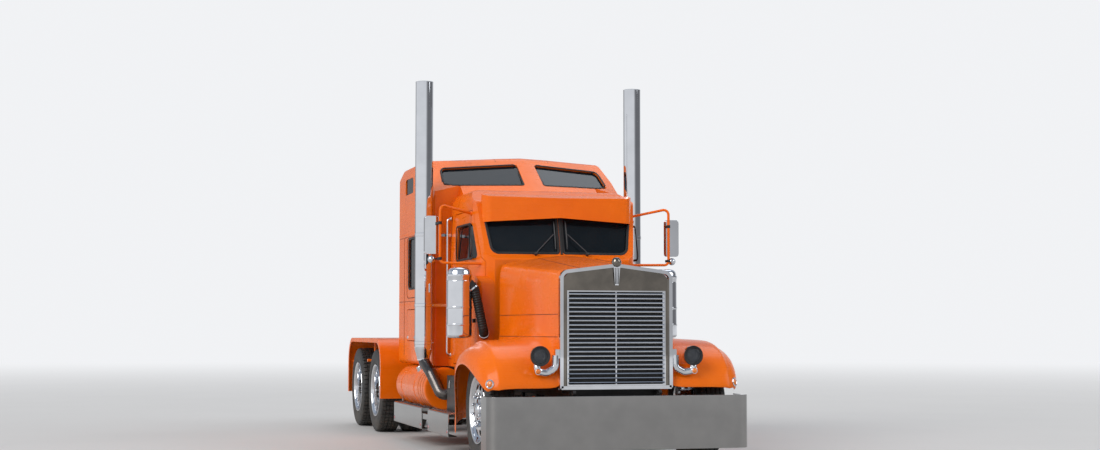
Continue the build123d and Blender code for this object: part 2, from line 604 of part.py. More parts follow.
arch_low = along_y([(-1, 2270), (-1, VISOR["low_mid"]), (800, VISOR["low_end"]), (800, 2270)], 1000, 1450)
visor = visor_body(0) - visor_body(VISOR["skin"]) - arch_low - cab_solid
keep("sun_visor", joined(both(visor.solids().sort_by(SortBy.VOLUME)[-1])))

# Mirrors: square-backed heads on tube arms fixed to the doors
mirrors = []
HEAD = dict(x0=1212.0, x1=1357.0, y=1405.0, z0=2000.0, z1=2392.0, deep=80.0)
loop = pipe([(835, 1480, 2420), (1216, 1335, 2500), (1216, 1335, 1912), (782, 1270, 1905)], 13, 40)
head = along_y([(HEAD["x0"], HEAD["z0"], 30), (HEAD["x1"], HEAD["z0"], 30), (HEAD["x1"], HEAD["z1"], 30),
                (HEAD["x0"], HEAD["z1"], 30)], HEAD["y"], HEAD["y"] + HEAD["deep"])
holder = joined([block(1206, 1236, 1330, 1440, 2300, 2330), block(1206, 1236, 1330, 1440, 2060, 2090)])
spot = rod((1285, 1395, 1952), (1285, 1440, 1952), 38)
spot_arm = block(1216, 1290, 1405, 1420, 1945, 2004)
spot_arm = spot_arm + block(1206, 1236, 1330, 1420, 1945, 1965)
mirror_piece = joined([loop, head, holder, spot_arm, spot]) - cab_solid
mirror_piece = mirror_piece.solids().sort_by(SortBy.VOLUME)[-1]
keep("mirror_left", mirror_piece)
keep("mirror_right", mirror(mirror_piece, about=Plane.YZ))

# Exhaust: tall stacks, a cone, a thinner elbow that runs forward under the cab, and a bracket
stacks = []
sx, sy, sr = STACK["x"], STACK["y"], STACK["r"]
tall = rod((sx, sy, STACK["low"]), (sx, sy, STACK["top"]), sr)
tall = tall - rod((sx, sy, STACK["top"] - 500), (sx, sy, STACK["top"] + 10), sr - 4)
cone = Pos(sx, sy, STACK["low"] - 60) * Cone(64, sr, 120)
elbow = pipe([(sx, sy, STACK["low"] - 60), (sx - 4, sy - 6, 905), (1122, 2215, 782), (1045, 2060, 560),
              (RAIL_OUT, 2000, 640)], 60, 70)
stack = joined([tall, cone, elbow])
for z in (1500, 2250):
    stack = stack + block(CAB_HALF - 30, sx - sr + 20, sy - 20, sy + 20, z - 15, z + 15)
stack = stack - block(0, CAB_HALF, CAB_FRONT, CAB_BACK, CAB_LOW, 2300)
stack = stack - block(300, RAIL_OUT, 1900, 2100, RAIL_LOW - 60, RAIL_TOP)
keep("exhaust_stacks", both(stack))

# Air cleaners: upright canisters with a domed top, bands, and a bracket to the cab side
cx, cy, cr = CLEANER["x"], CLEANER["y"], CLEANER["r"]
can = rod((cx, cy, CLEANER["low"]), (cx, cy, CLEANER["top"] - 45), cr)
cap = rod((cx, cy, CLEANER["top"] - 46), (cx, cy, CLEANER["top"]), cr - 8)
for z in (1290, 1460, 1770):
    can = can + rod((cx, cy, z - 10), (cx, cy, z + 10), cr + 4)
for z in (1330, 1690):
    can = can + (block(840, cx - cr + 30, 1136, 1176, z - 20, z + 20) - cab_solid)
keep("air_cleaners", both(joined([can, cap])))
duct = pipe([(cx - 60, cy - 30, 1700), (930, 1010, 1640), (840, 1010, 1230), (800, 1150, 1180)], 48, 55)
duct = duct - rod((cx, cy, 1100), (cx, cy, 1900), cr + 4)
duct = duct - cab_solid
keep("intake_pipes", both(duct.solids().sort_by(SortBy.VOLUME)[-1]))

# Fuel tanks: cylinders with dished ends, hung from the rails on two arms each
tank = rod((TANK["x"], TANK["y0"], TANK["z"]), (TANK["x"], TANK["y1"], TANK["z"]), TANK["r"])
tank = fillet(tank.edges(), 28) if hasattr(tank, "edges") else tank
for y in (2500, 3650):
    tank = tank + block(RAIL_OUT, TANK["x"] - 160, y - 40, y + 40, 640, 720)
keep("fuel_tanks", both(tank))

# Running boards: open box steps in two lengths, on brackets from the frame
BOARD = dict(x0=1072.0, x1=1200.0, z0=190.0, z1=418.0)
board_parts = []
for y0, y1 in ((985, 2010), (2340, 3970)):
    shape = along_y([(BOARD["x0"], BOARD["z1"]), (BOARD["x1"], BOARD["z1"], 12), (BOARD["x1"], BOARD["z0"], 12),
                     (BOARD["x0"] + 40, BOARD["z0"]), (BOARD["x0"] + 40, BOARD["z0"] + 8),
                     (BOARD["x1"] - 8, BOARD["z0"] + 8, 4), (BOARD["x1"] - 8, BOARD["z1"] - 8, 4),
                     (BOARD["x0"], BOARD["z1"] - 8)], y0, y1)
    board_parts.append(shape)
for y in (1100, 1990, 2360, 3900):
    arm = along_y([(RAIL_OUT - 40, 300), (BOARD["x1"] - 8, 300), (BOARD["x1"] - 8, 360), (RAIL_OUT - 5, 360),
                   (RAIL_OUT - 5, RAIL_LOW), (RAIL_OUT - 40, RAIL_LOW)], y - 12, y + 12)
    stay = block(BOARD["x0"] + 10, BOARD["x0"] + 40, y - 12, y + 12, 350, BOARD["z1"] - 8)
    board_parts.append(arm)
    board_parts.append(stay)
board_parts.append(block(BOARD["x1"] - 40, BOARD["x1"] - 8, 2000, 2350, 300, 360))
keep("running_boards", both(joined(board_parts)))

# Battery and tool boxes under the cab
box_solid = along_x([(1270, 385, 20), (1270, 770, 20), (1900, 770, 20), (1900, 385, 20)], 600, 1020)
box_solid = box_solid + block(RAIL_OUT, 610, 1400, 1500, 640, 700)
box_solid = box_solid + block(RAIL_OUT, 610, 1750, 1850, 640, 700)
keep("battery_boxes", both(box_solid))

# Rear fenders: one long thin cover over both axles each side, with a turned-down outer lip
F0, F1, FT = 4612.0, 7140.0, 1130.0
fender_out = [(F0, 420), (F0, FT, 330), (F1, FT, 330), (F1, 420)]
fender_in = [(F0 + 8, 400), (F0 + 8, FT - 8, 322), (F1 - 8, FT - 8, 322), (F1 - 8, 400)]
cover = along_x(fender_out, 610, 1250) - along_x(fender_in, 600, 1260)
lip = along_x(fender_out, 1242, 1250) - along_x([(F0 + 50, 400), (F0 + 50, FT - 50, 280), (F1 - 50, FT - 50, 280),
                                                 (F1 - 50, 400)], 1200, 1260)
cover = cover + lip
for y in (F0 + 26, 5875, F1 - 26):
    z = 820 if abs(y - 5875) > 10 else 850
    cover = cover + rod((RAIL_OUT, y, z), (1200, y, z), 18)
    if abs(y - 5875) < 10:
        cover = cover + rod((1100, y, z), (1100, y, FT - 4), 16) + rod((700, y, z), (700, y, FT - 4), 16)
keep("rear_fenders", both(cover))

# Front axle: dropped beam with pin eyes and spring pads; two leaf springs with hangers
beam = along_y([(-875, 458), (-845, 458), (-640, 400, 60), (640, 400, 60), (845, 458), (875, 458), (875, 520), (600, 480, 60),
                (-600, 480, 60), (-875, 520)], -45, 45)
for s in (-1, 1):
    beam = beam + rod((s * KINGPIN_X, 0, 455), (s * KINGPIN_X, 0, 545), 45)
    beam = beam + block(s * 860, s * 905, -40, 40, 456, 544)
    beam = beam - rod((s * KINGPIN_X, 0, 400), (s * KINGPIN_X, 0, 600), 20 + PIN_PLAY)
    leaf = block(s * 345, s * 425, -560, 600, 560, 590) + block(s * 345, s * 425, -330, 330, 530, 562)
    leaf = leaf + block(s * 350, s * 420, -60, 60, 470, 535)
    leaf = leaf + block(s * 345, s * 425, -560, -500, 585, RAIL_LOW) + block(s * 345, s * 425, 540, 600, 585, RAIL_LOW)
    beam = beam + leaf
keep("front_axle", beam)

# Drive axles: tubes with a round centre housing, springs under the rails and a shaft from the gearbox
drive = None
for y in DRIVE_Y:
    tube = rod((-640, y, TYRE_R), (640, y, TYRE_R), 62)
    spindle = rod((-1165, y, TYRE_R), (1165, y, TYRE_R), SPINDLE_R)
    bowl = Pos(0, y, TYRE_R) * Rot(90, 0, 0) * Cylinder(205, 210)
    nose = rod((0, y - 320, TYRE_R + 10), (0, y, TYRE_R + 10), 90)
    axle = joined([tube, spindle, bowl, nose])
    for s in (-1, 1):
        axle = axle + block(s * 350, s * 425, y - 90, y + 90, 555, 600)
        axle = axle + block(s * 350, s * 425, y - 430, y + 430, 590, 606)
        for e in (-1, 1):
            axle = axle + block(s * 350, s * 425, y + e * 430, y + e * 370, 600, RAIL_LOW)
    drive = axle if drive is None else drive + axle
drive = drive + rod((0, DRIVE_Y[0], TYRE_R + 10), (0, DRIVE_Y[1] - 300, TYRE_R + 10), 50)
drive = drive + rod((0, 1540, 590), (0, DRIVE_Y[0] - 250, TYRE_R + 10), 45)
keep("drive_axles", drive)

# Steering knuckles: pin, two ears and a spindle
for side_name, s in (("left", 1), ("right", -1)):
    x = s * KINGPIN_X
    knuckle = rod((x, 0, 420), (x, 0, 580), 20)
    for z0, z1 in ((420, 450), (550, 580)):
        knuckle = knuckle + rod((x, 0, z0), (x, 0, z1), 45)
        knuckle = knuckle + block(x, x + s * 65, -40, 40, z0, z1)
    knuckle = knuckle + block(x + s * 50, x + s * 68, -48, 48, 420, 580)
    knuckle = knuckle + rod((x + s * 60, 0, TYRE_R), (s * 1128, 0, TYRE_R), SPINDLE_R)
    knuckle = knuckle + block(x - s * 30, x + s * 20, 30, 220, 425, 449)
    keep("knuckle_" + side_name, knuckle)


def tyre(x_mid, y):
    """Tyre with rounded shoulders, centred on x_mid."""
    w = TYRE_W / 2
    pts = [(BEAD_R, -w + 22), (RIM_R + 2, -w + 22), (BEAD_R + 60, -w + 3), (TYRE_R - 62, -w), (TYRE_R - 20, -w + 12), (TYRE_R - 3, -w + 34),
           (TYRE_R, 0), (TYRE_R - 3, w - 34), (TYRE_R - 20, w - 12), (TYRE_R - 62, w), (BEAD_R + 60, w - 3),
           (RIM_R + 2, w - 22), (BEAD_R, w - 22)]
    return turned(pts, x_mid, TYRE_R, y)


def ring(x_mid, y):
    """Rim barrel with two flanges."""
    w = TYRE_W / 2 - 22
    return turned([(BEAD_R - 14, -w - 8), (RIM_R, -w - 8), (RIM_R, -w - 1), (BEAD_R, -w), (BEAD_R, w),
                   (RIM_R, w + 1), (RIM_R, w + 8), (BEAD_R - 14, w + 8)], x_mid, TYRE_R, y)


def hand_holes(x_mid, y, a, b):
    """Ten round holes through a disc between offsets a and b."""
    holes = []
    for k in range(10):
        t = math.radians(36 * k + 18)
        u, v = y + 218 * math.cos(t), TYRE_R + 218 * math.sin(t)
        holes.append(rod((x_mid + a, u, v), (x_mid + b, u, v), 31))
    return joined(holes)


def signed(points, s):
    """Wheel outline turned to face outward on side s."""
    return [(p[0], p[1] * s) for p in points]


# Wheel outlines: radius, offset from the tyre's middle toward the outside
STEER_DISC = [(HUB_BORE, 20), (112, 20), (112, 78), (BEAD_R - 10, 78), (BEAD_R - 10, 98), (128, 98),
              (120, 104), (92, 106), (88, 122), (0, 122), (0, 118), (HUB_BORE + 20, 116), (HUB_BORE + 20, 104),
              (HUB_BORE, 98)]
INNER_DISC = [(HUB_BORE, 60), (112, 60), (112, 146), (178, 146), (BEAD_R - 12, 84), (BEAD_R - 12, 104),
              (186, 166), (HUB_BORE, 166)]
OUTER_DISC = [(HUB_BORE, -166), (186, -166), (BEAD_R - 12, -104), (BEAD_R - 12, -84), (178, -146), (112, -146),
              (96, 60), (HUB_BORE, 60)]
for side_name, s in (("left", 1), ("right", -1)):
    x = s * STEER_X
    wheel = joined([ring(x, 0), turned(signed(STEER_DISC, s), x, TYRE_R, 0)])
    keep("front_wheel_" + side_name, wheel - hand_holes(x, 0, min(s * 60, s * 115), max(s * 60, s * 115)))
    keep("front_tyre_" + side_name, tyre(x, 0))
    for row, y in zip(("front", "rear"), DRIVE_Y):
        a, b = s * DUAL_X[0], s * DUAL_X[1]
        pair = joined([ring(a, y), turned(signed(INNER_DISC, s), a, TYRE_R, y), ring(b, y),
                       turned(signed(OUTER_DISC, s), b, TYRE_R, y)])
        middle = s * sum(DUAL_X) / 2
        keep("drive_wheels_" + row + "_" + side_name, pair - hand_holes(middle, y, -75, 75))
        keep("drive_tyres_" + row + "_" + side_name, [tyre(a, y), tyre(b, y)])

# Cabin: dash with column and wheel, two seats, bunk
dash = along_x([(CAB_FRONT, 1420), (CAB_FRONT, 1915), (1300, 1915, 30), (1420, 1820, 60), (1420, 1600, 60), (1290, 1420)],
               0, CAB_HALF - WALL - 8)
dash_middle = common(dash, room, block(-1, 600, 1000, 1600, 1300, 2000))
dash = dash_middle + common(dash, room, along_z(corner_plan(WALL + MOVE_GAP + 3), 1300, 2000))
# Round hollow for the swing of the door's front edge
dash = joined(both(dash - rod((*HINGE, 1300), (*HINGE, 2000), 157)))
column = rod((430, 1400, 1560), (430, 1640, 1640), 30)
ring_plane = Plane(origin=(430, 1640, 1640), z_dir=(0, 240, 80))
ring_hex = [(215 + 15 * math.cos(math.radians(60 * k)), 15 * math.sin(math.radians(60 * k))) for k in range(6)]
ring_face = rounded(Plane.XZ, ring_hex)
ring = ring_plane.location * revolve(ring_face, axis=Axis.Z, revolution_arc=360)
spokes = ring_plane.location * Box(420, 26, 12) + ring_plane.location * Box(26, 420, 12)
keep("dashboard", joined([dash, column, ring, spokes]))
soft = []
for s in (-1, 1):
    x = s * 455
    base_box = block(x - 170, x + 170, 1830, 2180, FLOOR_TOP, 1250)
    cushion = along_x([(1760, 1240, 40), (1760, 1370, 50), (2250, 1350, 40), (2250, 1240, 30)], x - 250, x + 250)
    back = along_x([(2170, 1330, 30), (2290, 1330, 40), (2370, 2050, 50), (2250, 2060, 50)], x - 240, x + 240)
    soft.append(joined([base_box, cushion, back]))
bunk = block(-1000, 1000, 3560, SLEEPER_BACK - WALL, FLOOR_TOP, 1240)
mattress = along_x([(3570, 1240), (3570, 1400, 50), (4455, 1400, 50), (4455, 1240)], -995, 995)
soft.append(joined([bunk, mattress]))
keep("seats_and_bunk", soft)

# The stored frame has its origin on the ground, midway between the bumper face and the light panel
MIDDLE_Y = (BUMPER_FRONT + RAIL_BACK + 12) / 2
os.makedirs("parts", exist_ok=True)
for name, shape in PARTS.items():
    export_step(shape.moved(Location((0, -MIDDLE_Y, 0))), "parts/" + name + ".step")
    print(name, len(shape.solids()), round(shape.volume / 1e9, 4))
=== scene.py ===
import json
import math

import bmesh
import bpy
from mathutils import Matrix, Vector
from mathutils.bvhtree import BVHTree


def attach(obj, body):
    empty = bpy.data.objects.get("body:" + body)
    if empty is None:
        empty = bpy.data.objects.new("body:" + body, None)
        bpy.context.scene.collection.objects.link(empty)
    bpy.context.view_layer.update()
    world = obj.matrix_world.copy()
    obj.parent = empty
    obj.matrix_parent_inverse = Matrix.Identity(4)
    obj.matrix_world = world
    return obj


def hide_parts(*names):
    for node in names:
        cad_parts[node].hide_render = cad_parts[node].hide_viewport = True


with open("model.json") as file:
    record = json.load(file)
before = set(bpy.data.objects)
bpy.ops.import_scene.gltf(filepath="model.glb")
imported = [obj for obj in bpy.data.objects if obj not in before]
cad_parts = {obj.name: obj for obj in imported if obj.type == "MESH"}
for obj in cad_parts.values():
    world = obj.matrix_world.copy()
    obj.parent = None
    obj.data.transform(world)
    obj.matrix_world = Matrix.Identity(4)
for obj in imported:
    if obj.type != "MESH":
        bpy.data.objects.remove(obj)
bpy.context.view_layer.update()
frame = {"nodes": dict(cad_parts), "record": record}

bl_info = {
    "name": "Long-nose tractor unit",
    "version": (1, 0, 0),
    "blender": (4, 5, 0),
    "location": "View3D > Sidebar > Tractor unit",
    "description": "Dresses the packed tractor unit with modelled pieces and procedural finishes",
    "category": "Object",
}

AXLE_Y = -3.3185          # the front axle in the row frame
SIDES = (("left", 1.0), ("right", -1.0))
UP = (0, 0, 1)
DOWN = (0, 0, -1)
BACK = (0, 1, 0)
SHARP_ANGLE = math.radians(42.0)
GRILLE_Y = -0.700
LAMP_Y = -0.735
LAMP_Z = 1.006
STACK = (1.170, 2.404)
NUT_CIRCLE = 0.143
HAND_HOLE = 0.031
TWIN_GAP = -0.332         # from the outer wheel of a pair to the inner one
SEAM_RADIUS = 0.003
SEAT_X = 0.455
PUFF_CAP = 0.014          # how far a cushion may swell
PUFF_FRAMES = 20
SEWN_DEPTH = 0.007
WELD = 2e-5
FLAT_ANGLE = math.radians(0.6)
CAMERA_LENS = 55.44
CAMERA_PLACE = (-4.680, -18.6885, 1.257)
CAMERA_TURN = (math.radians(93.481), 0.0, math.radians(-15.434))
SUN_SPREAD = math.radians(40.0)

# Routes of bent tubes on the left side: x, y, z and bend radius
DUCT_ROUTE = ((0.985, 1.030, 1.700, 0), (0.930, 1.010, 1.640, 0.06), (0.840, 1.010, 1.230, 0.06),
              (0.800, 1.150, 1.180, 0))
ELBOW_ROUTE = ((1.170, 2.404, 0.98, 0), (1.166, 2.398, 0.905, 0.07), (1.122, 2.215, 0.782, 0.07),
               (1.045, 2.060, 0.560, 0.07), (0.43, 2.000, 0.640, 0))
MIRROR_ARM = ((0.852, 1.480, 2.420, 0), (1.216, 1.335, 2.500, 0.05), (1.216, 1.335, 1.912, 0.05),
              (0.800, 1.272, 1.905, 0))
CAB_RAIL = ((0.872, 2.392, 0.975, 0), (0.915, 2.392, 0.975, 0.03), (0.915, 2.392, 2.425, 0.03),
            (0.872, 2.392, 2.425, 0))
SLEEPER_RAIL = ((1.055, 2.560, 1.45, 0), (1.105, 2.560, 1.45, 0.03), (1.105, 2.560, 2.20, 0.03),
                (1.055, 2.560, 2.20, 0))


def at(x, y, z):
    """Point given from the ground under the front axle, in metres."""
    return Vector((x, y + AXLE_Y, z))


# Shader groups shared by the materials

def group(name, inputs, outputs):
    """Empty shader group with named sockets."""
    tree = bpy.data.node_groups.new(name, "ShaderNodeTree")
    for socket, kind, value in inputs:
        made = tree.interface.new_socket(socket, in_out="INPUT", socket_type="NodeSocket" + kind)
        if value is not None:
            made.default_value = value
    for socket, kind in outputs:
        tree.interface.new_socket(socket, in_out="OUTPUT", socket_type="NodeSocket" + kind)
    return tree, tree.nodes.new("NodeGroupInput"), tree.nodes.new("NodeGroupOutput")


def math_node(tree, operation, a, b=None, clamp=False):
    """Math node fed by sockets or numbers."""
    made = tree.nodes.new("ShaderNodeMath")
    made.operation = operation
    made.use_clamp = clamp
    for index, value in enumerate((a, b)):
        if value is None:
            continue
        if isinstance(value, (int, float)):
            made.inputs[index].default_value = value
        else:
            tree.links.new(value, made.inputs[index])
    return made.outputs[0]


def noise(tree, vector, scale, detail=3.0, rough=0.5):
    """Noise value over a vector socket."""
    made = tree.nodes.new("ShaderNodeTexNoise")
    made.inputs["Scale"].default_value = scale
    made.inputs["Detail"].default_value = detail
    made.inputs["Roughness"].default_value = rough
    tree.links.new(vector, made.inputs["Vector"])
    return made.outputs["Fac"]


def ramp(tree, value, low, high, invert=False):
    """Value stretched between two limits."""
    made = tree.nodes.new("ShaderNodeMapRange")
    made.interpolation_type = "SMOOTHSTEP"
    made.inputs["From Min"].default_value = low
    made.inputs["From Max"].default_value = high
    made.inputs["To Min"].default_value = 1.0 if invert else 0.0
    made.inputs["To Max"].default_value = 0.0 if invert else 1.0
    tree.links.new(value, made.inputs["Value"])
    return made.outputs["Result"]


def split(tree, vector):
    """The X, Y and Z of a vector socket."""
    made = tree.nodes.new("ShaderNodeSeparateXYZ")
    tree.links.new(vector, made.inputs[0])
    return made.outputs


def rays_seen(tree):
    """Camera ray socket, and a mask of camera, glossy and transmission rays."""
    paths = tree.nodes.new("ShaderNodeLightPath").outputs
    seen = math_node(tree, "MAXIMUM", paths["Is Camera Ray"], paths["Is Glossy Ray"])
    return paths["Is Camera Ray"], math_node(tree, "MAXIMUM", seen, paths["Is Transmission Ray"])


def dust_group():
    """Road dust: thicker low down, on top faces and in patches."""
    tree, given, made = group("road_dust", [("Vector", "Vector", None), ("Height", "Float", 0.9),
                                            ("Amount", "Float", 0.3)], [("Mask", "Float")])
    low = math_node(tree, "DIVIDE", split(tree, given.outputs["Vector"])["Z"], given.outputs["Height"])
    low = math_node(tree, "SUBTRACT", 1.0, low, clamp=True)
    face = tree.nodes.new("ShaderNodeNewGeometry")
    top = math_node(tree, "MULTIPLY", ramp(tree, split(tree, face.outputs["Normal"])["Z"], 0.5, 1.0), 0.35)
    patch = ramp(tree, noise(tree, given.outputs["Vector"], 6.0, 5.0, 0.6), 0.3, 0.75)
    fine = ramp(tree, noise(tree, given.outputs["Vector"], 90.0, 2.0), 0.25, 0.8)
    both = math_node(tree, "MAXIMUM", low, top)
    both = math_node(tree, "MULTIPLY", both, patch)
    both = math_node(tree, "MULTIPLY", both, math_node(tree, "ADD", math_node(tree, "MULTIPLY", fine, 0.5),
                                                       0.5))
    both = math_node(tree, "MULTIPLY", both, given.outputs["Amount"], clamp=True)
    tree.links.new(both, made.inputs["Mask"])
    return tree


def smudge_group():
    """Uneven wiping marks for polished and glossy faces."""
    tree, given, made = group("wipe_marks", [("Vector", "Vector", None), ("Low", "Float", 0.05),
                                             ("High", "Float", 0.2)],
                              [("Roughness", "Float"), ("Mask", "Float")])
    wide = noise(tree, given.outputs["Vector"], 3.0, 6.0, 0.65)
    stretch = tree.nodes.new("ShaderNodeMapping")
    stretch.inputs["Scale"].default_value = (1.0, 1.0, 14.0)
    tree.links.new(given.outputs["Vector"], stretch.inputs["Vector"])
    streak = noise(tree, stretch.outputs["Vector"], 2.0, 4.0, 0.6)
    mask = math_node(tree, "MULTIPLY", ramp(tree, wide, 0.35, 0.75), ramp(tree, streak, 0.2, 0.8))
    span = math_node(tree, "SUBTRACT", given.outputs["High"], given.outputs["Low"])
    rough = math_node(tree, "ADD", given.outputs["Low"], math_node(tree, "MULTIPLY", span, mask))
    tree.links.new(rough, made.inputs["Roughness"])
    tree.links.new(mask, made.inputs["Mask"])
    return tree


def grain_group():
    """Fine cast or moulded grain as height and mask."""
    tree, given, made = group("surface_grain", [("Vector", "Vector", None), ("Scale", "Float", 300.0)],
                              [("Height", "Float"), ("Mask", "Float")])
    cells = tree.nodes.new("ShaderNodeTexVoronoi")
    cells.feature = "SMOOTH_F1"
    tree.links.new(given.outputs["Vector"], cells.inputs["Vector"])
    tree.links.new(given.outputs["Scale"], cells.inputs["Scale"])
    soft = noise(tree, given.outputs["Vector"], 40.0, 6.0, 0.6)
    height = math_node(tree, "ADD", cells.outputs["Distance"], soft)
    tree.links.new(height, made.inputs["Height"])
    tree.links.new(ramp(tree, soft, 0.35, 0.7), made.inputs["Mask"])
    return tree


def weave_group():
    """Woven cloth: crossed threads as height and colour mask."""
    tree, given, made = group("woven_cloth", [("Vector", "Vector", None), ("Threads", "Float", 500.0)],
                              [("Height", "Float"), ("Mask", "Float")])
    parts = split(tree, given.outputs["Vector"])
    across = math_node(tree, "ADD", parts["X"], parts["Z"])
    along = math_node(tree, "SUBTRACT", parts["Y"], parts["Z"])
    waves = []
    for value in (across, along):
        phase = math_node(tree, "MULTIPLY", value, given.outputs["Threads"])
        waves.append(math_node(tree, "SINE", phase))
    height = math_node(tree, "MULTIPLY", waves[0], waves[1])
    tree.links.new(height, made.inputs["Height"])
    patch = noise(tree, given.outputs["Vector"], 25.0, 4.0)
    tree.links.new(ramp(tree, patch, 0.3, 0.7), made.inputs["Mask"])
    return tree


GROUPS = {}
DUST_COLOUR = (0.42, 0.34, 0.25, 1.0)
PALE = (0.88, 0.89, 0.91, 1.0)     # the studio far away


def place_group(tree, name, vector, **values):
    """Shared group in one material, with its own values."""
    made = tree.nodes.new("ShaderNodeGroup")
    made.node_tree = GROUPS[name]
    tree.links.new(vector, made.inputs["Vector"])
    for key, value in values.items():
        made.inputs[key].default_value = value
    return made.outputs


def blend_colour(tree, mask, first, second):
    """Colour mixed between two by a mask."""
    made = tree.nodes.new("ShaderNodeMix")
    made.data_type = "RGBA"
    tree.links.new(mask, made.inputs[0])
    for index, value in ((6, first), (7, second)):
        if isinstance(value, tuple):
            made.inputs[index].default_value = value
        else:
            tree.links.new(value, made.inputs[index])
    return made.outputs[2]


def blank_material(name):
    """New material with its tree, its shader and the object's coordinates."""
    material = bpy.data.materials.new(name)
    material.use_nodes = True
    tree = material.node_tree
    where = tree.nodes.new("ShaderNodeTexCoord").outputs["Object"]
    return material, tree, tree.nodes["Principled BSDF"], where


def finish(name, colour, second, metallic=0.0, rough=(0.3, 0.4), coat=0.0, bump=None, dust=(0.9, 0.3),
           scale=5.0, grain=None, weave=None, sheen=0.0, coat_rough=0.03, gloss_level=0.5):
    """Principled material with colour variation, uneven gloss, relief and dust."""
    material, tree, shader, where = blank_material(name)
    for key, value in (("Metallic", metallic), ("Coat Weight", coat), ("Coat Roughness", coat_rough),
                       ("Specular IOR Level", gloss_level), ("Sheen Weight", sheen)):
        shader.inputs[key].default_value = value
    height = None
    if weave:
        outs = place_group(tree, "woven_cloth", where, Threads=weave)
        patch, height = outs["Mask"], outs["Height"]
    elif grain:
        outs = place_group(tree, "surface_grain", where, Scale=grain)
        patch, height = outs["Mask"], outs["Height"]
    else:
        patch = ramp(tree, noise(tree, where, scale, 5.0, 0.6), 0.3, 0.7)
    colours = blend_colour(tree, patch, colour + (1.0,), second + (1.0,))
    marks = place_group(tree, "wipe_marks", where, Low=rough[0], High=rough[1])
    gloss = marks["Roughness"]
    if dust:
        mask = place_group(tree, "road_dust", where, Height=dust[0], Amount=dust[1])["Mask"]
        colours = blend_colour(tree, mask, colours, DUST_COLOUR)
        gloss = math_node(tree, "ADD", gloss, math_node(tree, "MULTIPLY", mask, 0.45), clamp=True)
        if metallic > 0.5:
            metal = math_node(tree, "SUBTRACT", metallic, math_node(tree, "MULTIPLY", mask, 0.8), clamp=True)
            tree.links.new(metal, shader.inputs["Metallic"])
    tree.links.new(colours, shader.inputs["Base Color"])
    tree.links.new(gloss, shader.inputs["Roughness"])
    if bump:
        if height is None:
            height = noise(tree, where, bump[1], 2.0)
        relief = tree.nodes.new("ShaderNodeBump")
        relief.inputs["Strength"].default_value = bump[0]
        relief.inputs["Distance"].default_value = bump[2] if len(bump) > 2 else 0.001
        tree.links.new(height, relief.inputs["Height"])
        tree.links.new(relief.outputs["Normal"], shader.inputs["Normal"])
    return material


def glass_finish(name, tint, alpha):
    """Tinted glass with a plain transmission and faint wiping marks."""
    material, tree, shader, where = blank_material(name)
    marks = place_group(tree, "wipe_marks", where, Low=0.02, High=0.08)
    tree.links.new(marks["Roughness"], shader.inputs["Roughness"])
    mask = place_group(tree, "road_dust", where, Height=4.0, Amount=0.03)["Mask"]
    tree.links.new(blend_colour(tree, mask, tint + (1.0,), DUST_COLOUR), shader.inputs["Base Color"])
    shader.inputs["Alpha"].default_value = alpha
    shader.inputs["Specular IOR Level"].default_value = 0.25
    return material


MATERIALS = {}


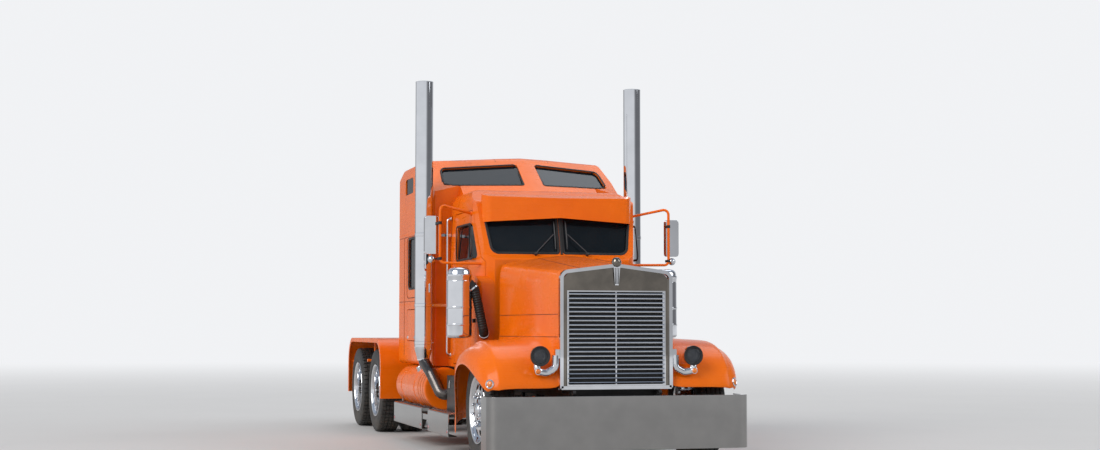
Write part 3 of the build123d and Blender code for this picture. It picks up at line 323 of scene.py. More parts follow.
def make_materials(paint):
    """All finishes of the truck."""
    GROUPS.update(road_dust=dust_group(), wipe_marks=smudge_group(), surface_grain=grain_group(),
                  woven_cloth=weave_group())
    deep = tuple(channel * factor for channel, factor in zip(paint, (0.93, 0.86, 0.8)))

    def add(name, colour, second, **values):
        MATERIALS[name] = finish(name, colour, second, **values)

    def add_glass(name, tint, alpha):
        MATERIALS[name] = glass_finish(name, tint, alpha)

    add("orange_paint", paint, deep, rough=(0.26, 0.36), coat=0.20, bump=(0.015, 220.0, 0.0006),
        dust=(0.8, 0.08), scale=2.0, gloss_level=0.16, coat_rough=0.05)
    add("frame_paint", (0.016, 0.016, 0.018), (0.026, 0.025, 0.025), rough=(0.35, 0.6), bump=(0.12, 150.0),
        dust=(1.0, 0.08), gloss_level=0.3)
    add("polished", (0.70, 0.715, 0.745), (0.64, 0.655, 0.685), metallic=1.0, rough=(0.02, 0.06),
        dust=(0.5, 0.06))
    add("dim_chrome", (0.32, 0.314, 0.307), (0.29, 0.285, 0.28), metallic=1.0, rough=(0.04, 0.10),
        dust=(0.5, 0.06))
    # The smoked metal is mirror-polished steel whose dark brownish colour is a painted reflection of dark
    # ground.
    add("smoked", (0.24, 0.215, 0.185), (0.17, 0.155, 0.135), metallic=1.0, rough=(0.03, 0.12),
        bump=(0.06, 5.0, 0.01), dust=None)
    add("burnt", (0.13, 0.12, 0.115), (0.07, 0.06, 0.055), metallic=1.0, rough=(0.22, 0.42),
        bump=(0.08, 60.0), dust=(1.0, 0.2))
    add("wheel_alloy", (0.74, 0.75, 0.77), (0.66, 0.67, 0.69), metallic=1.0, rough=(0.05, 0.16),
        dust=(0.5, 0.12), bump=(0.03, 400.0, 0.0003))
    add("rubber", (0.018, 0.018, 0.019), (0.03, 0.03, 0.03), rough=(0.45, 0.7), bump=(0.15, 500.0),
        dust=(0.9, 0.12), gloss_level=0.25)
    add("tyre", (0.016, 0.016, 0.017), (0.028, 0.027, 0.026), rough=(0.55, 0.8), grain=260.0,
        bump=(0.12, 0.0), dust=(1.0, 0.20))
    add("iron", (0.045, 0.043, 0.042), (0.09, 0.07, 0.055), metallic=0.4, rough=(0.5, 0.75), grain=420.0,
        bump=(0.3, 0.0), dust=(1.2, 0.45))
    add("dark_plastic", (0.03, 0.03, 0.032), (0.042, 0.042, 0.044), rough=(0.5, 0.65), grain=900.0,
        bump=(0.35, 0.0, 0.0005), dust=(0.4, 0.1))
    add("cloth", (0.10, 0.10, 0.11), (0.13, 0.128, 0.13), rough=(0.8, 0.95), weave=1400.0,
        bump=(0.6, 0.0, 0.0006), dust=None, sheen=0.4)
    add_glass("glass", (0.006, 0.010, 0.014), 0.90)
    add_glass("lens", (0.06, 0.065, 0.075), 0.55)
    add("amber", (0.85, 0.22, 0.01), (0.7, 0.16, 0.01), rough=(0.08, 0.2), coat=1.0, dust=(0.6, 0.1))
    add("red_lens", (0.5, 0.01, 0.008), (0.38, 0.008, 0.006), rough=(0.08, 0.2), coat=1.0, dust=(0.6, 0.1))
    add("seam", (0.15, 0.020, 0.002), (0.10, 0.014, 0.002), rough=(0.6, 0.8), dust=(0.6, 0.1))
    add("liner", (0.105, 0.095, 0.085), (0.085, 0.078, 0.07), rough=(0.6, 0.8), grain=700.0,
        bump=(0.3, 0.0, 0.0005), dust=None)
    add("floor_mat", (0.02, 0.02, 0.021), (0.03, 0.03, 0.03), rough=(0.7, 0.85), grain=500.0,
        bump=(0.3, 0.0), dust=(9.0, 0.2))
    add("bowl", (0.9, 0.9, 0.92), (0.8, 0.8, 0.82), metallic=1.0, rough=(0.05, 0.12), dust=None)


# Mesh helpers

def painted(verts, index):
    """Gives the faces round these vertices a material slot."""
    for vert in verts:
        for near in vert.link_faces:
            near.material_index = index


def verts_in(geom):
    """The vertices among a bmesh operator's results."""
    return [item for item in geom if isinstance(item, bmesh.types.BMVert)]


def once(items):
    """Each item once, in the order met."""
    return list(dict.fromkeys(items))


def shown(name, data):
    """Object of these data, in the scene."""
    made = bpy.data.objects.new(name, data)
    bpy.context.scene.collection.objects.link(made)
    return made


def kept_mesh(name, bm):
    """Mesh of a bmesh with its normals put right, and the bmesh freed."""
    bmesh.ops.recalc_face_normals(bm, faces=bm.faces)
    mesh = bpy.data.meshes.new(name)
    bm.to_mesh(mesh)
    bm.free()
    return mesh


def fillet_line(points, closed=False, steps=5):
    """Points (x, y, z, radius) turned to a line with rounded corners."""
    out = []
    count = len(points)
    for index, row in enumerate(points):
        corner = Vector(row[:3])
        radius = row[3] if len(row) > 3 else 0.0
        if radius <= 0.0 or (not closed and index in (0, count - 1)):
            out.append(corner)
            continue
        a = (Vector(points[index - 1][:3]) - corner).normalized()
        b = (Vector(points[(index + 1) % count][:3]) - corner).normalized()
        half = a.angle(b) / 2.0
        reach = radius / math.tan(half)
        centre = corner + (a + b).normalized() * (radius / math.sin(half))
        start = corner + a * reach - centre
        stop = corner + b * reach - centre
        for step in range(steps + 1):
            out.append(centre + start.normalized().slerp(stop.normalized(), step / steps) * radius)
    return out


def piece(name, bm, material, body, replaces=(), bevel=0.0, segments=2, subdivide=0, solid=0.0,
          angle=30.0, materials=()):
    """Object from a bmesh, riding on its body with its finishing modifiers."""
    mesh = kept_mesh(name, bm)
    made = shown(name, mesh)
    for key in (material,) + tuple(materials):
        mesh.materials.append(MATERIALS[key])
    mesh.shade_smooth()
    if not (bevel or subdivide):
        mesh.set_sharp_from_angle(angle=SHARP_ANGLE)
    if solid:
        shell = made.modifiers.new("wall", "SOLIDIFY")
        shell.thickness = solid
        shell.offset = -1.0
    if bevel:
        edge = made.modifiers.new("edges", "BEVEL")
        edge.width = bevel
        edge.segments = segments
        edge.limit_method = "ANGLE"
        edge.angle_limit = math.radians(angle)
        edge.harden_normals = False
        edge.use_clamp_overlap = True
    if not subdivide:
        weight = made.modifiers.new("shading", "WEIGHTED_NORMAL")
        weight.keep_sharp = True
    if subdivide:
        surface = made.modifiers.new("surface", "SUBSURF")
        surface.levels = subdivide
        surface.render_levels = subdivide
    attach(made, body)
    if replaces:
        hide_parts(*replaces)
    return made


def extruded(bm, points, direction, index=0):
    """Closed outline carried along a direction."""
    face = bm.faces.new([bm.verts.new(p) for p in points])
    face.material_index = index
    made = bmesh.ops.extrude_face_region(bm, geom=[face])
    fresh = verts_in(made["geom"])
    bmesh.ops.translate(bm, verts=fresh, vec=direction)
    painted(fresh, index)


def box(bm, low, high, index=0):
    """Box between two corners."""
    low, high = Vector(low), Vector(high)
    size = high - low
    made = bmesh.ops.create_cube(bm, size=1.0, matrix=Matrix.Translation((low + high) / 2) @
                                 Matrix.Diagonal((size.x, size.y, size.z, 1.0)))
    painted(made["verts"], index)


def side_box(bm, side, low, high, index=0):
    """Box between two corners given for the left side, or its mirror image on the right."""
    (x0, y0, z0), (x1, y1, z1) = low, high
    box(bm, at(min(side * x0, side * x1), y0, z0), at(max(side * x0, side * x1), y1, z1), index)


def side_line(side, rows, steps):
    """Rounded line of (x, y, z, radius) rows given for the left side."""
    return fillet_line([(side * x, y, z, radius) for x, y, z, radius in rows], steps=steps)


def turn(direction):
    """Rotation that carries +Z onto a direction."""
    return Vector(UP).rotation_difference(Vector(direction)).to_matrix().to_4x4()


def spun(bm, profile, origin, axis, steps=48, index=0):
    """Closed or axis-to-axis profile of (radius, height) turned about an axis."""
    place = Matrix.Translation(origin) @ turn(axis)
    verts = [bm.verts.new((r, 0.0, h)) for r, h in profile]
    edges = [bm.edges.new((a, b)) for a, b in zip(verts, verts[1:])]
    if profile[0][0] > 1e-6:
        edges.append(bm.edges.new((verts[-1], verts[0])))
    bmesh.ops.spin(bm, geom=verts + edges, cent=(0, 0, 0), axis=UP, angle=math.tau, steps=steps,
                   use_merge=True, use_duplicate=False)
    reached = dict.fromkeys(verts)
    todo = list(verts)
    while todo:
        vert = todo.pop()
        for edge in vert.link_edges:
            other = edge.other_vert(vert)
            if other not in reached:
                reached[other] = None
                todo.append(other)
    bmesh.ops.remove_doubles(bm, verts=list(reached), dist=1e-6)
    alive = [vert for vert in reached if vert.is_valid]
    bmesh.ops.transform(bm, matrix=place, verts=alive)
    painted(alive, index)
    return alive


def tube(bm, line, radius, sides=12, closed=False, index=0, flat=1.0, up=None):
    """Round or flat band swept along a line of points, capped when open; gives back its rings."""
    count = len(line)
    frames = []
    side = None
    for number, point in enumerate(line):
        before = line[number - 1] if number or closed else point
        after = line[(number + 1) % count] if number < count - 1 or closed else point
        along = (after - before).normalized()
        if up is not None:
            side = along.cross(Vector(up)).normalized()
        elif side is None:
            guess = Vector(UP) if abs(along.z) < 0.9 else Vector((1, 0, 0))
            side = along.cross(guess).normalized()
        else:
            side = (side - along * side.dot(along)).normalized()
        other = along.cross(side)
        turned = Matrix((side, other, along)).transposed().to_4x4()
        scale = Matrix.Diagonal((radius, radius * flat, radius, 1.0))
        frames.append(Matrix.Translation(point) @ turned @ scale)
    start = bmesh.ops.create_circle(bm, cap_ends=not closed, segments=sides, radius=1.0, matrix=frames[0])
    rings = [start["verts"]]
    first_edges = once(edge for vert in rings[0] for edge in vert.link_edges)
    edges = first_edges
    for before, after in zip(frames, frames[1:]):
        grown = bmesh.ops.extrude_edge_only(bm, edges=edges)["geom"]
        ring = verts_in(grown)
        edges = [item for item in grown if isinstance(item, bmesh.types.BMEdge) and item.is_boundary]
        bmesh.ops.transform(bm, matrix=after @ before.inverted(), verts=ring)
        rings.append(ring)
    if closed:
        bmesh.ops.bridge_loops(bm, edges=first_edges + edges)
    else:
        bmesh.ops.edgeloop_fill(bm, edges=edges)
    painted(flat_list(rings), index)
    return rings


def flat_list(rings):
    """All vertices of a swept band."""
    return [vert for ring in rings for vert in ring]


def merged_copy(source):
    """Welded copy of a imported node's mesh with its flat areas joined."""
    bm = bmesh.new()
    bm.from_mesh(frame["nodes"][source].data)
    bmesh.ops.remove_doubles(bm, verts=bm.verts, dist=WELD)
    bmesh.ops.dissolve_limit(bm, angle_limit=FLAT_ANGLE, verts=bm.verts, edges=bm.edges)
    return bm


def softened(source, material, body, width, segments=2, prepare=None, materials=()):
    """Welded copy of a node whose sharp edges are rounded."""
    bm = merged_copy(source)
    if prepare is not None:
        prepare(bm)
    piece(source + "_panels", bm, material, body, replaces=(source,), bevel=width, angle=28.0,
          segments=segments, materials=materials)


def rotate_about(bm, verts, origin, axis, degrees):
    """Turns vertices about a line."""
    turned = Matrix.Rotation(math.radians(degrees), 3, Vector(axis))
    bmesh.ops.rotate(bm, verts=verts, cent=origin, matrix=turned)


def curve_outline(points, steps=6):
    """Rounded flat outline of (u, v, radius) rows as (u, v) pairs."""
    rows = [(u, v, 0.0, radius) for u, v, radius in points]
    return [(p.x, p.y) for p in fillet_line(rows, closed=True, steps=steps)]


def rounded_rectangle(low, high, radius, steps):
    """Rounded outline between two corners (u, v)."""
    return curve_outline([(low[0], low[1], radius), (high[0], low[1], radius), (high[0], high[1], radius),
                          (low[0], high[1], radius)], steps)


def frame_strip(bm, outline, width, depth, place, rounding):
    """Flat band inside an outline of (u, v), carried to a depth; place turns (u, v, w) to a point."""
    face = bm.faces.new([bm.verts.new(place(u, v, 0.0)) for u, v in outline])
    face.normal_update()
    made = bmesh.ops.inset_individual(bm, faces=[face], thickness=width, use_even_offset=True)
    bm.faces.remove(face)
    band = made["faces"]
    carried = bmesh.ops.extrude_face_region(bm, geom=band)
    fresh = verts_in(carried["geom"])
    bmesh.ops.translate(bm, verts=fresh, vec=place(0.0, 0.0, depth) - place(0.0, 0.0, 0.0))
    faces = [item for item in carried["geom"] if isinstance(item, bmesh.types.BMFace)]
    edges = [edge for edge in once(e for f in faces for e in f.edges) if edge.calc_face_angle(0.0) > 0.9]
    bmesh.ops.bevel(bm, geom=edges, offset=rounding, segments=3, profile=0.5, affect="EDGES", material=-1,
                    clamp_overlap=True)


def dome(bm, centre, axis, radius, height, sides=16, index=0):
    """Rounded button, half sunk in a face."""
    place = Matrix.Translation(centre) @ turn(axis) @ Matrix.Diagonal((radius, radius, height, 1.0))
    made = bmesh.ops.create_uvsphere(bm, u_segments=sides, v_segments=6, radius=1.0, matrix=place)
    painted(made["verts"], index)


def hex_nut(bm, centre, axis, across, height, index=0):
    """Six-sided nut with a rounded cap."""
    place = Matrix.Translation(Vector(centre) + Vector(axis) * height / 2) @ turn(axis)
    made = bmesh.ops.create_cone(bm, cap_ends=True, segments=6, radius1=across / 1.9, radius2=across / 2.05,
                                 depth=height, matrix=place)
    painted(made["verts"], index)
    dome(bm, Vector(centre) + Vector(axis) * height, axis, across / 2.4, height * 0.4, sides=12, index=index)


# Wheel profiles: radius, offset outward from the tyre's middle
STEER_FACE = [(0.290, 0.112), (0.312, 0.117), (0.316, 0.122), (0.313, 0.128), (0.303, 0.127), (0.293, 0.118),
              (0.284, 0.096), (0.280, 0.088), (0.268, 0.088), (0.250, 0.098), (0.222, 0.107), (0.190, 0.112),
              (0.172, 0.112), (0.168, 0.109), (0.112, 0.109), (0.112, 0.098), (0.166, 0.097), (0.215, 0.094),
              (0.246, 0.085), (0.266, 0.074), (0.278, 0.072), (0.280, 0.060)]
DRIVE_FACE = [(0.290, 0.108), (0.312, 0.113), (0.316, 0.119), (0.313, 0.125), (0.303, 0.124), (0.293, 0.116),
              (0.284, 0.090), (0.281, 0.020), (0.276, -0.062), (0.268, -0.080), (0.250, -0.092),
              (0.215, -0.116), (0.190, -0.140), (0.178, -0.146), (0.112, -0.147), (0.112, -0.160),
              (0.180, -0.160), (0.196, -0.154), (0.222, -0.130), (0.256, -0.106), (0.274, -0.096),
              (0.285, -0.070), (0.290, 0.010)]


def disc_with_holes(profile, holes, hole_radius, ring_radius):
    """Wheel disc turned from a profile, with round hand holes cut through it."""
    bm = bmesh.new()
    spun(bm, profile, (0, 0, 0), UP, steps=120)
    blank = shown("wheel_blank", kept_mesh("wheel_blank", bm))
    bm = bmesh.new()
    for number in range(holes):
        angle = math.tau * (number + 0.5) / holes
        place = Matrix.Translation((ring_radius * math.cos(angle), ring_radius * math.sin(angle), 0.0))
        bmesh.ops.create_cone(bm, cap_ends=True, segments=28, radius1=hole_radius, radius2=hole_radius,
                              depth=0.6, matrix=place)
    cutter_mesh = bpy.data.meshes.new("wheel_cutter")
    bm.to_mesh(cutter_mesh)
    bm.free()
    cutter = shown("wheel_cutter", cutter_mesh)
    cut = blank.modifiers.new("holes", "BOOLEAN")
    cut.object = cutter
    cut.operation = "DIFFERENCE"
    cut.solver = "EXACT"
    rim = blank.modifiers.new("rim", "BEVEL")
    rim.width = 0.003
    rim.segments = 2
    rim.angle_limit = math.radians(50)
    bpy.context.view_layer.update()
    ready = bpy.data.meshes.new_from_object(blank.evaluated_get(bpy.context.evaluated_depsgraph_get()))
    for item in (blank, cutter):
        bpy.data.objects.remove(item)
    return ready


def outward(x, y, side):
    """Place of a wheel part made about +Z, turned to face out on one side."""
    return Matrix.Translation(at(x, y, 0.5)) @ Matrix.Rotation(math.radians(90.0 * side), 4, "Y")


def placed_copy(mesh, place):
    """New bmesh of a kept mesh at its place."""
    bm = bmesh.new()
    bm.from_mesh(mesh)
    bmesh.ops.transform(bm, matrix=place, verts=bm.verts)
    return bm


def ring_of_nuts(bm, count, radius, height, across, depth):
    """Nuts evenly round +Z."""
    for number in range(count):
        angle = math.tau * number / count
        hex_nut(bm, (radius * math.cos(angle), radius * math.sin(angle), height), UP, across, depth, index=1)


def tread(bm, pitches, shoulder_only):
    """Tyre turned about +Z, with ribs, cross grooves and sidewall rings."""
    half = 0.131
    lines = [(0.292, -0.107), (0.318, -0.112), (0.322, -0.118), (0.340, -0.120), (0.344, -0.123),
             (0.360, -0.1285), (0.400, half * -1.0), (0.430, -0.1305), (0.434, -0.128), (0.452, -0.127),
             (0.470, -0.124), (0.484, -0.118), (0.492, -0.110), (0.496, -0.102)]
    ribs = []
    groove = 0.013
    for centre in (-0.066, -0.023, 0.023, 0.066):
        ribs += [(0.4985 + 0.0015 * (1 - abs(centre) / 0.1), centre - 0.0055),
                 (0.4985 - groove, centre - 0.004),
                 (0.4985 - groove, centre + 0.004),
                 (0.4985 + 0.0015 * (1 - abs(centre) / 0.1), centre + 0.0055)]
    profile = lines + ribs + [(r, -h) for r, h in reversed(lines)]
    steps = pitches * 4
    verts = spun(bm, profile, (0, 0, 0), UP, steps=steps)
    share = (0.0, 0.78, 0.81, 0.97)
    for vert in verts:
        radius = math.hypot(vert.co.x, vert.co.y)
        turn_at = math.atan2(vert.co.y, vert.co.x) % math.tau
        ring = round(turn_at / math.tau * steps) % steps
        pitch, kind = divmod(ring, 4)
        angle = math.tau * (pitch + share[kind]) / pitches
        outer = abs(vert.co.z) > 0.070 if shoulder_only else True
        if kind > 1 and radius > 0.4885 and outer:
            radius -= 0.011 if abs(vert.co.z) < 0.105 else 0.006
        if not shoulder_only:
            angle += 0.010 * math.sin(vert.co.z * 48.0) * min(1.0, max(0.0, (radius - 0.46) / 0.03))
        vert.co.x, vert.co.y = radius * math.cos(angle), radius * math.sin(angle)
    return verts


def ring_plate(bm, outer, inner, place, depth, index=0):
    """Flat plate between two outlines of (u, v), with a thickness."""
    loops = []
    for outline in (outer, inner):
        verts = [bm.verts.new(place(u, v, 0.0)) for u, v in outline]
        loops += [bm.edges.new((verts[number - 1], verts[number])) for number in range(len(verts))]
    faces = bmesh.ops.bridge_loops(bm, edges=loops)["faces"]
    for near in faces:
        near.material_index = index
    carried = bmesh.ops.extrude_face_region(bm, geom=faces)
    fresh = verts_in(carried["geom"])
    bmesh.ops.translate(bm, verts=fresh, vec=place(0.0, 0.0, depth) - place(0.0, 0.0, 0.0))
    painted(fresh, index)


def surface_of(source):
    """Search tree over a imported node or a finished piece."""
    if isinstance(source, str):
        bm = bmesh.new()
        bm.from_mesh(frame["nodes"][source].data)
    else:
        bpy.context.view_layer.update()
        bm = bmesh.new()
        bm.from_object(source, bpy.context.evaluated_depsgraph_get())
    tree = BVHTree.FromBMesh(bm)
    bm.free()
    return tree


def laid(tree, points, direction, spacing=0.04):
    """Line of points dropped onto a surface along a direction, with points added between."""
    direction = Vector(direction)
    line = []
    for first, second in zip(points, points[1:]):
        parts = max(1, int((second - first).length / spacing))
        line += [first.lerp(second, step / parts) for step in range(parts)]
    line.append(points[-1])
    found = []
    for point in line:
        hit = tree.ray_cast(point - direction * 1.5, direction, 3.0)[0]
        if hit is not None:
            found.append(hit)
    return found


def inside_faces(bm, index, reach=3.2):
    """Gives faces that look into a closed room their own material."""
    tree = BVHTree.FromBMesh(bm)
    tilts = ((0, 0, 0), (0.7, 0.2, 0.1), (-0.7, -0.2, 0.1), (0.1, 0.7, -0.2), (-0.1, -0.7, 0.3))
    rooms = []
    for face in bm.faces:
        middle = face.calc_center_median() + face.normal * 0.002
        hits = 0
        for tilt in tilts:
            ray = (face.normal + Vector(tilt)).normalized()
            hit = tree.ray_cast(middle, ray, reach)[0]
            hits += hit is not None
        if hits >= 4 and tree.ray_cast(middle, face.normal, reach)[0] is not None:
            rooms.append(face)
    for face in rooms:
        face.material_index = index + (1 if face.normal.z > 0.9 else 0)


# Body panels

HOOD_STATIONS = (
    # crown y, crown z, ridge x, ridge drop, flare x, lip y, lip z
    (-0.690, 0.712, 1.085, 0.010, 1.155, -0.600, 0.680),
    (-0.668, 0.800, 1.098, 0.014, 1.185, -0.585, 0.690),
    (-0.590, 0.935, 1.108, 0.020, 1.215, -0.520, 0.742),
    (-0.450, 1.050, 1.112, 0.024, 1.240, -0.425, 0.800),
    (-0.280, 1.120, 1.112, 0.028, 1.258, -0.260, 0.872),
    (-0.060, 1.152, 1.110, 0.030, 1.268, -0.050, 0.925),
    (0.180, 1.148, 1.108, 0.032, 1.268, 0.150, 0.912),
    (0.400, 1.105, 1.105, 0.032, 1.258, 0.330, 0.862),
    (0.560, 1.000, 1.100, 0.030, 1.240, 0.460, 0.780),
    (0.630, 0.850, 1.090, 0.026, 1.222, 0.535, 0.690),
    (0.655, 0.680, 1.080, 0.020, 1.208, 0.585, 0.590),
    (0.735, 0.515, 1.075, 0.016, 1.200, 0.600, 0.460),
    (0.880, 0.425, 1.075, 0.012, 1.198, 0.600, 0.330),
    (0.950, 0.385, 1.075, 0.010, 1.196, 0.600, 0.205),
)


def hood_edges(t):
    """Half width, side top and crown height of the bonnet box at a share of its length."""
    return 0.522 + t * 0.168, 1.761 + t * 0.145, 1.828 + t * 0.160


def hood_surface(bm, side):
    """One half of the bonnet and its fender as one sheet."""
    rows = len(HOOD_STATIONS)
    columns = 14
    made = bmesh.ops.create_grid(bm, x_segments=columns, y_segments=rows - 1, size=1.0)
    verts = sorted(made["verts"], key=lambda v: (round(v.co.y, 4), round(v.co.x, 4)))
    width = columns + 1
    for row, (cy, cz, ridge_x, drop, flare_x, lip_y, lip_z) in enumerate(HOOD_STATIONS):
        t = row / (rows - 1)
        hood_y = -0.655 + t * 1.640
        half, top, crown = hood_edges(t)
        low = max(cz, 0.0) if cy < 0.45 else 1.105 - 0.02 * (row - 8)
        inner = half + 0.022
        fillet = min(1.0, row / 3.0)
        line = [
            (0.0, hood_y, crown),
            (0.08, hood_y, crown - 0.004),
            (half * 0.55, hood_y, top + (crown - top) * 0.50),
            (half - 0.085, hood_y, top + 0.004),
            (half - 0.030, hood_y, top - 0.018),
            (half, hood_y, top - 0.085),
            (half, hood_y, (top + low) / 2 + 0.1),
            (half, hood_y * 0.6 + cy * 0.4, low + (top - low) * 0.28 * fillet + 0.06 * (1.0 - fillet)),
            (inner - 0.01, hood_y * 0.3 + cy * 0.7,
             cz + 0.010 + 0.075 * fillet if cy < 0.45 else low + 0.05),
            (inner + 0.09, cy, cz + 0.010 * fillet),
            ((inner + ridge_x) / 2 + 0.06, cy, cz + 0.002),
            (ridge_x - 0.012, cy, cz - drop * 0.3),
            (ridge_x + 0.010, cy + 0.004, cz - drop - 0.010),
            (flare_x, (cy + lip_y) / 2, (cz + lip_z) / 2 + 0.015),
            (flare_x + 0.014, lip_y, lip_z),
        ]
        for column, (x, y, z) in enumerate(line):
            verts[row * width + column].co = at(x * side, y, z)
    crease = bm.edges.layers.float.get("crease_edge") or bm.edges.layers.float.new("crease_edge")
    for row in range(rows - 1):
        for column, sharp in ((11, 0.4), (12, 0.9)):
            edge = bm.edges.get((verts[row * width + column], verts[(row + 1) * width + column]))
            edge[crease] = sharp
    return verts


class TruckSizes(bpy.types.PropertyGroup):
    """Sizes and colours that a user would change."""
    paint: bpy.props.FloatVectorProperty(name="Paint", description="Body colour", subtype="COLOR",
                                         default=(0.88, 0.165, 0.003), min=0.0, max=1.0)
    bevel: bpy.props.FloatProperty(name="Panel edge", description="Rounding of sheet metal edges",
                                   default=0.006, min=0.0, unit="LENGTH")
    bars: bpy.props.IntProperty(name="Grille bars", description="Number of bars in the grille", default=21,
                                min=3)
    lugs: bpy.props.IntProperty(name="Wheel studs", description="Wheel nuts on each wheel", default=10,
                                min=4)
    tread_pitches: bpy.props.IntProperty(name="Tread pitches", description="Tread blocks round each tyre",
                                         default=56, min=12)
    key_light: bpy.props.FloatProperty(name="Key light", description="Strength of the large side light",
                                       default=2.0, min=0.0)


def sizes():
    """The user's settings."""
    return bpy.context.scene.truck_sizes


class BuildStage(bpy.types.Operator):
    """Camera, floor and soft lights"""
    bl_idname = "truck.stage"
    bl_label = "Stage"

    def execute(self, context):
        scene = context.scene
        scene.view_settings.view_transform = "Standard"
        world = bpy.data.worlds.new("studio")
        scene.world = world
        world.use_nodes = True
        tree = world.node_tree
        back = tree.nodes["Background"]
        where = tree.nodes.new("ShaderNodeTexCoord").outputs["Generated"]
        lift = ramp(tree, split(tree, where)["Z"], 0.02, 0.65)
        sky = blend_colour(tree, lift, PALE, (0.36, 0.42, 0.52, 1.0))
        # Two soft darker sides of the studio, which give bright metal its form
        for direction, near, depth in (((0.93, -0.36, 0.1), 0.42, 0.88), ((-0.17, 0.98, 0.1), 0.82, 0.62)):
            facing = tree.nodes.new("ShaderNodeVectorMath")
            facing.operation = "DOT_PRODUCT"
            facing.inputs[1].default_value = direction
            tree.links.new(where, facing.inputs[0])
            patch = ramp(tree, facing.outputs["Value"], near, near + (1.0 - near) * 0.75)
            sky = blend_colour(tree, math_node(tree, "MULTIPLY", patch, depth), sky, (0.10, 0.10, 0.11, 1.0))
        camera_ray, seen = rays_seen(tree)
        open_sky = blend_colour(tree, camera_ray, sky, PALE)
        light = blend_colour(tree, seen, (0.42, 0.43, 0.45, 1.0), open_sky)
        tree.links.new(light, back.inputs["Color"])

        bm = bmesh.new()
        bmesh.ops.create_grid(bm, x_segments=2, y_segments=2, size=60.0)
        mesh = bpy.data.meshes.new("studio_floor")
        bm.to_mesh(mesh)
        bm.free()
        floor = shown("studio_floor", mesh)
        mesh.materials.append(floor_material())

        for name, direction, power, colour in (
                ("key", (-0.78, -0.42, 0.55), sizes().key_light, (1.0, 0.97, 0.93)),
                ("fill", (0.80, -0.50, 0.50), sizes().key_light * 0.42, (0.94, 0.97, 1.0)),
                ("back", (0.25, 0.50, 0.95), sizes().key_light * 0.26, (0.96, 0.98, 1.0))):
            data = bpy.data.lights.new(name, "SUN")
            data.energy = power
            data.angle = SUN_SPREAD
            data.color = colour
            lamp = shown(name, data)
            lamp.rotation_euler = (-Vector(direction)).to_track_quat("-Z", "Y").to_euler()

        view = bpy.data.cameras.new("view")
        view.lens = CAMERA_LENS
        view.sensor_width = 36.0
        view.clip_end = 200.0
        eye = shown("view", view)
        eye.location = CAMERA_PLACE
        eye.rotation_euler = CAMERA_TURN
        scene.camera = eye
        return {"FINISHED"}


def floor_material():
    """Pale studio floor with faint mottling, which runs into the pale background far away."""
    material, tree, shader, where = blank_material("studio_floor")
    patch = ramp(tree, noise(tree, where, 0.6, 5.0), 0.3, 0.7)
    tree.links.new(blend_colour(tree, patch, (0.600, 0.597, 0.592, 1.0), (0.612, 0.609, 0.604, 1.0)),
                   shader.inputs["Base Color"])
    shader.inputs["Roughness"].default_value = 0.75
    reach = tree.nodes.new("ShaderNodeVectorMath")
    reach.operation = "LENGTH"
    tree.links.new(where, reach.inputs[0])
    far = ramp(tree, reach.outputs["Value"], 9.0, 48.0)
    seen = rays_seen(tree)[1]
    glow = tree.nodes.new("ShaderNodeEmission")
    glow.inputs["Color"].default_value = PALE
    mix = tree.nodes.new("ShaderNodeMixShader")
    tree.links.new(math_node(tree, "MULTIPLY", far, seen), mix.inputs[0])
    tree.links.new(shader.outputs[0], mix.inputs[1])
    tree.links.new(glow.outputs[0], mix.inputs[2])
    tree.links.new(mix.outputs[0], tree.nodes["Material Output"].inputs["Surface"])
    return material


class BuildFinishes(bpy.types.Operator):
    """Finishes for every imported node"""
    bl_idname = "truck.finishes"
    bl_label = "Finishes"

    def execute(self, context):
        make_materials(tuple(sizes().paint))
        for row in frame["record"]["subparts"]:
            mesh = frame["nodes"][row["node"]].data
            mesh.materials.clear()
            mesh.materials.append(MATERIALS[row["material_slot"]])
        return {"FINISHED"}


class BuildHood(bpy.types.Operator):
    """Bonnet and fenders as one smooth sheet on each side"""
    bl_idname = "truck.hood"
    bl_label = "Hood and fenders"

    def execute(self, context):
        bm = bmesh.new()
        for side in (1.0, -1.0):
            verts = hood_surface(bm, side)
            if side < 0:
                bmesh.ops.reverse_faces(bm, faces=once(f for v in verts for f in v.link_faces))
        bmesh.ops.remove_doubles(bm, verts=bm.verts, dist=0.0005)
        piece("hood_shell", bm, "orange_paint", "hood", replaces=("hood",), solid=0.010, subdivide=2)
        return {"FINISHED"}


class BuildPanels(bpy.types.Operator):
    """Cab, sleeper, doors and other sheet metal with rounded edges"""
    bl_idname = "truck.panels"
    bl_label = "Body panels"

    def execute(self, context):
        width = sizes().bevel
        for room in ("cab_body", "sleeper_body"):
            softened(room, "orange_paint", "chassis", width, prepare=lambda bm: inside_faces(bm, 1),
                     materials=("liner", "floor_mat"))
        softened("sun_visor", "orange_paint", "chassis", 0.004)
        softened("rear_fenders", "orange_paint", "chassis", 0.004)
        softened("front_bumper", "dim_chrome", "chassis", 0.005)
        softened("battery_boxes", "frame_paint", "chassis", 0.006)
        softened("running_boards", "dim_chrome", "chassis", 0.003)
        softened("frame_rails", "frame_paint", "chassis", 0.003)
        softened("front_axle", "iron", "chassis", 0.006)
        softened("fifth_wheel", "iron", "fifth_wheel", 0.006)
        for side, sign in SIDES:
            def lined(bm, sign=sign):
                for face in bm.faces:
                    if face.normal.x * sign < -0.7:
                        face.material_index = 1
            softened("door_" + side, "orange_paint", "door_" + side, 0.004, prepare=lined,
                     materials=("liner",))
            softened("baggage_door_" + side, "orange_paint", "baggage_door_" + side, 0.004)
        return {"FINISHED"}


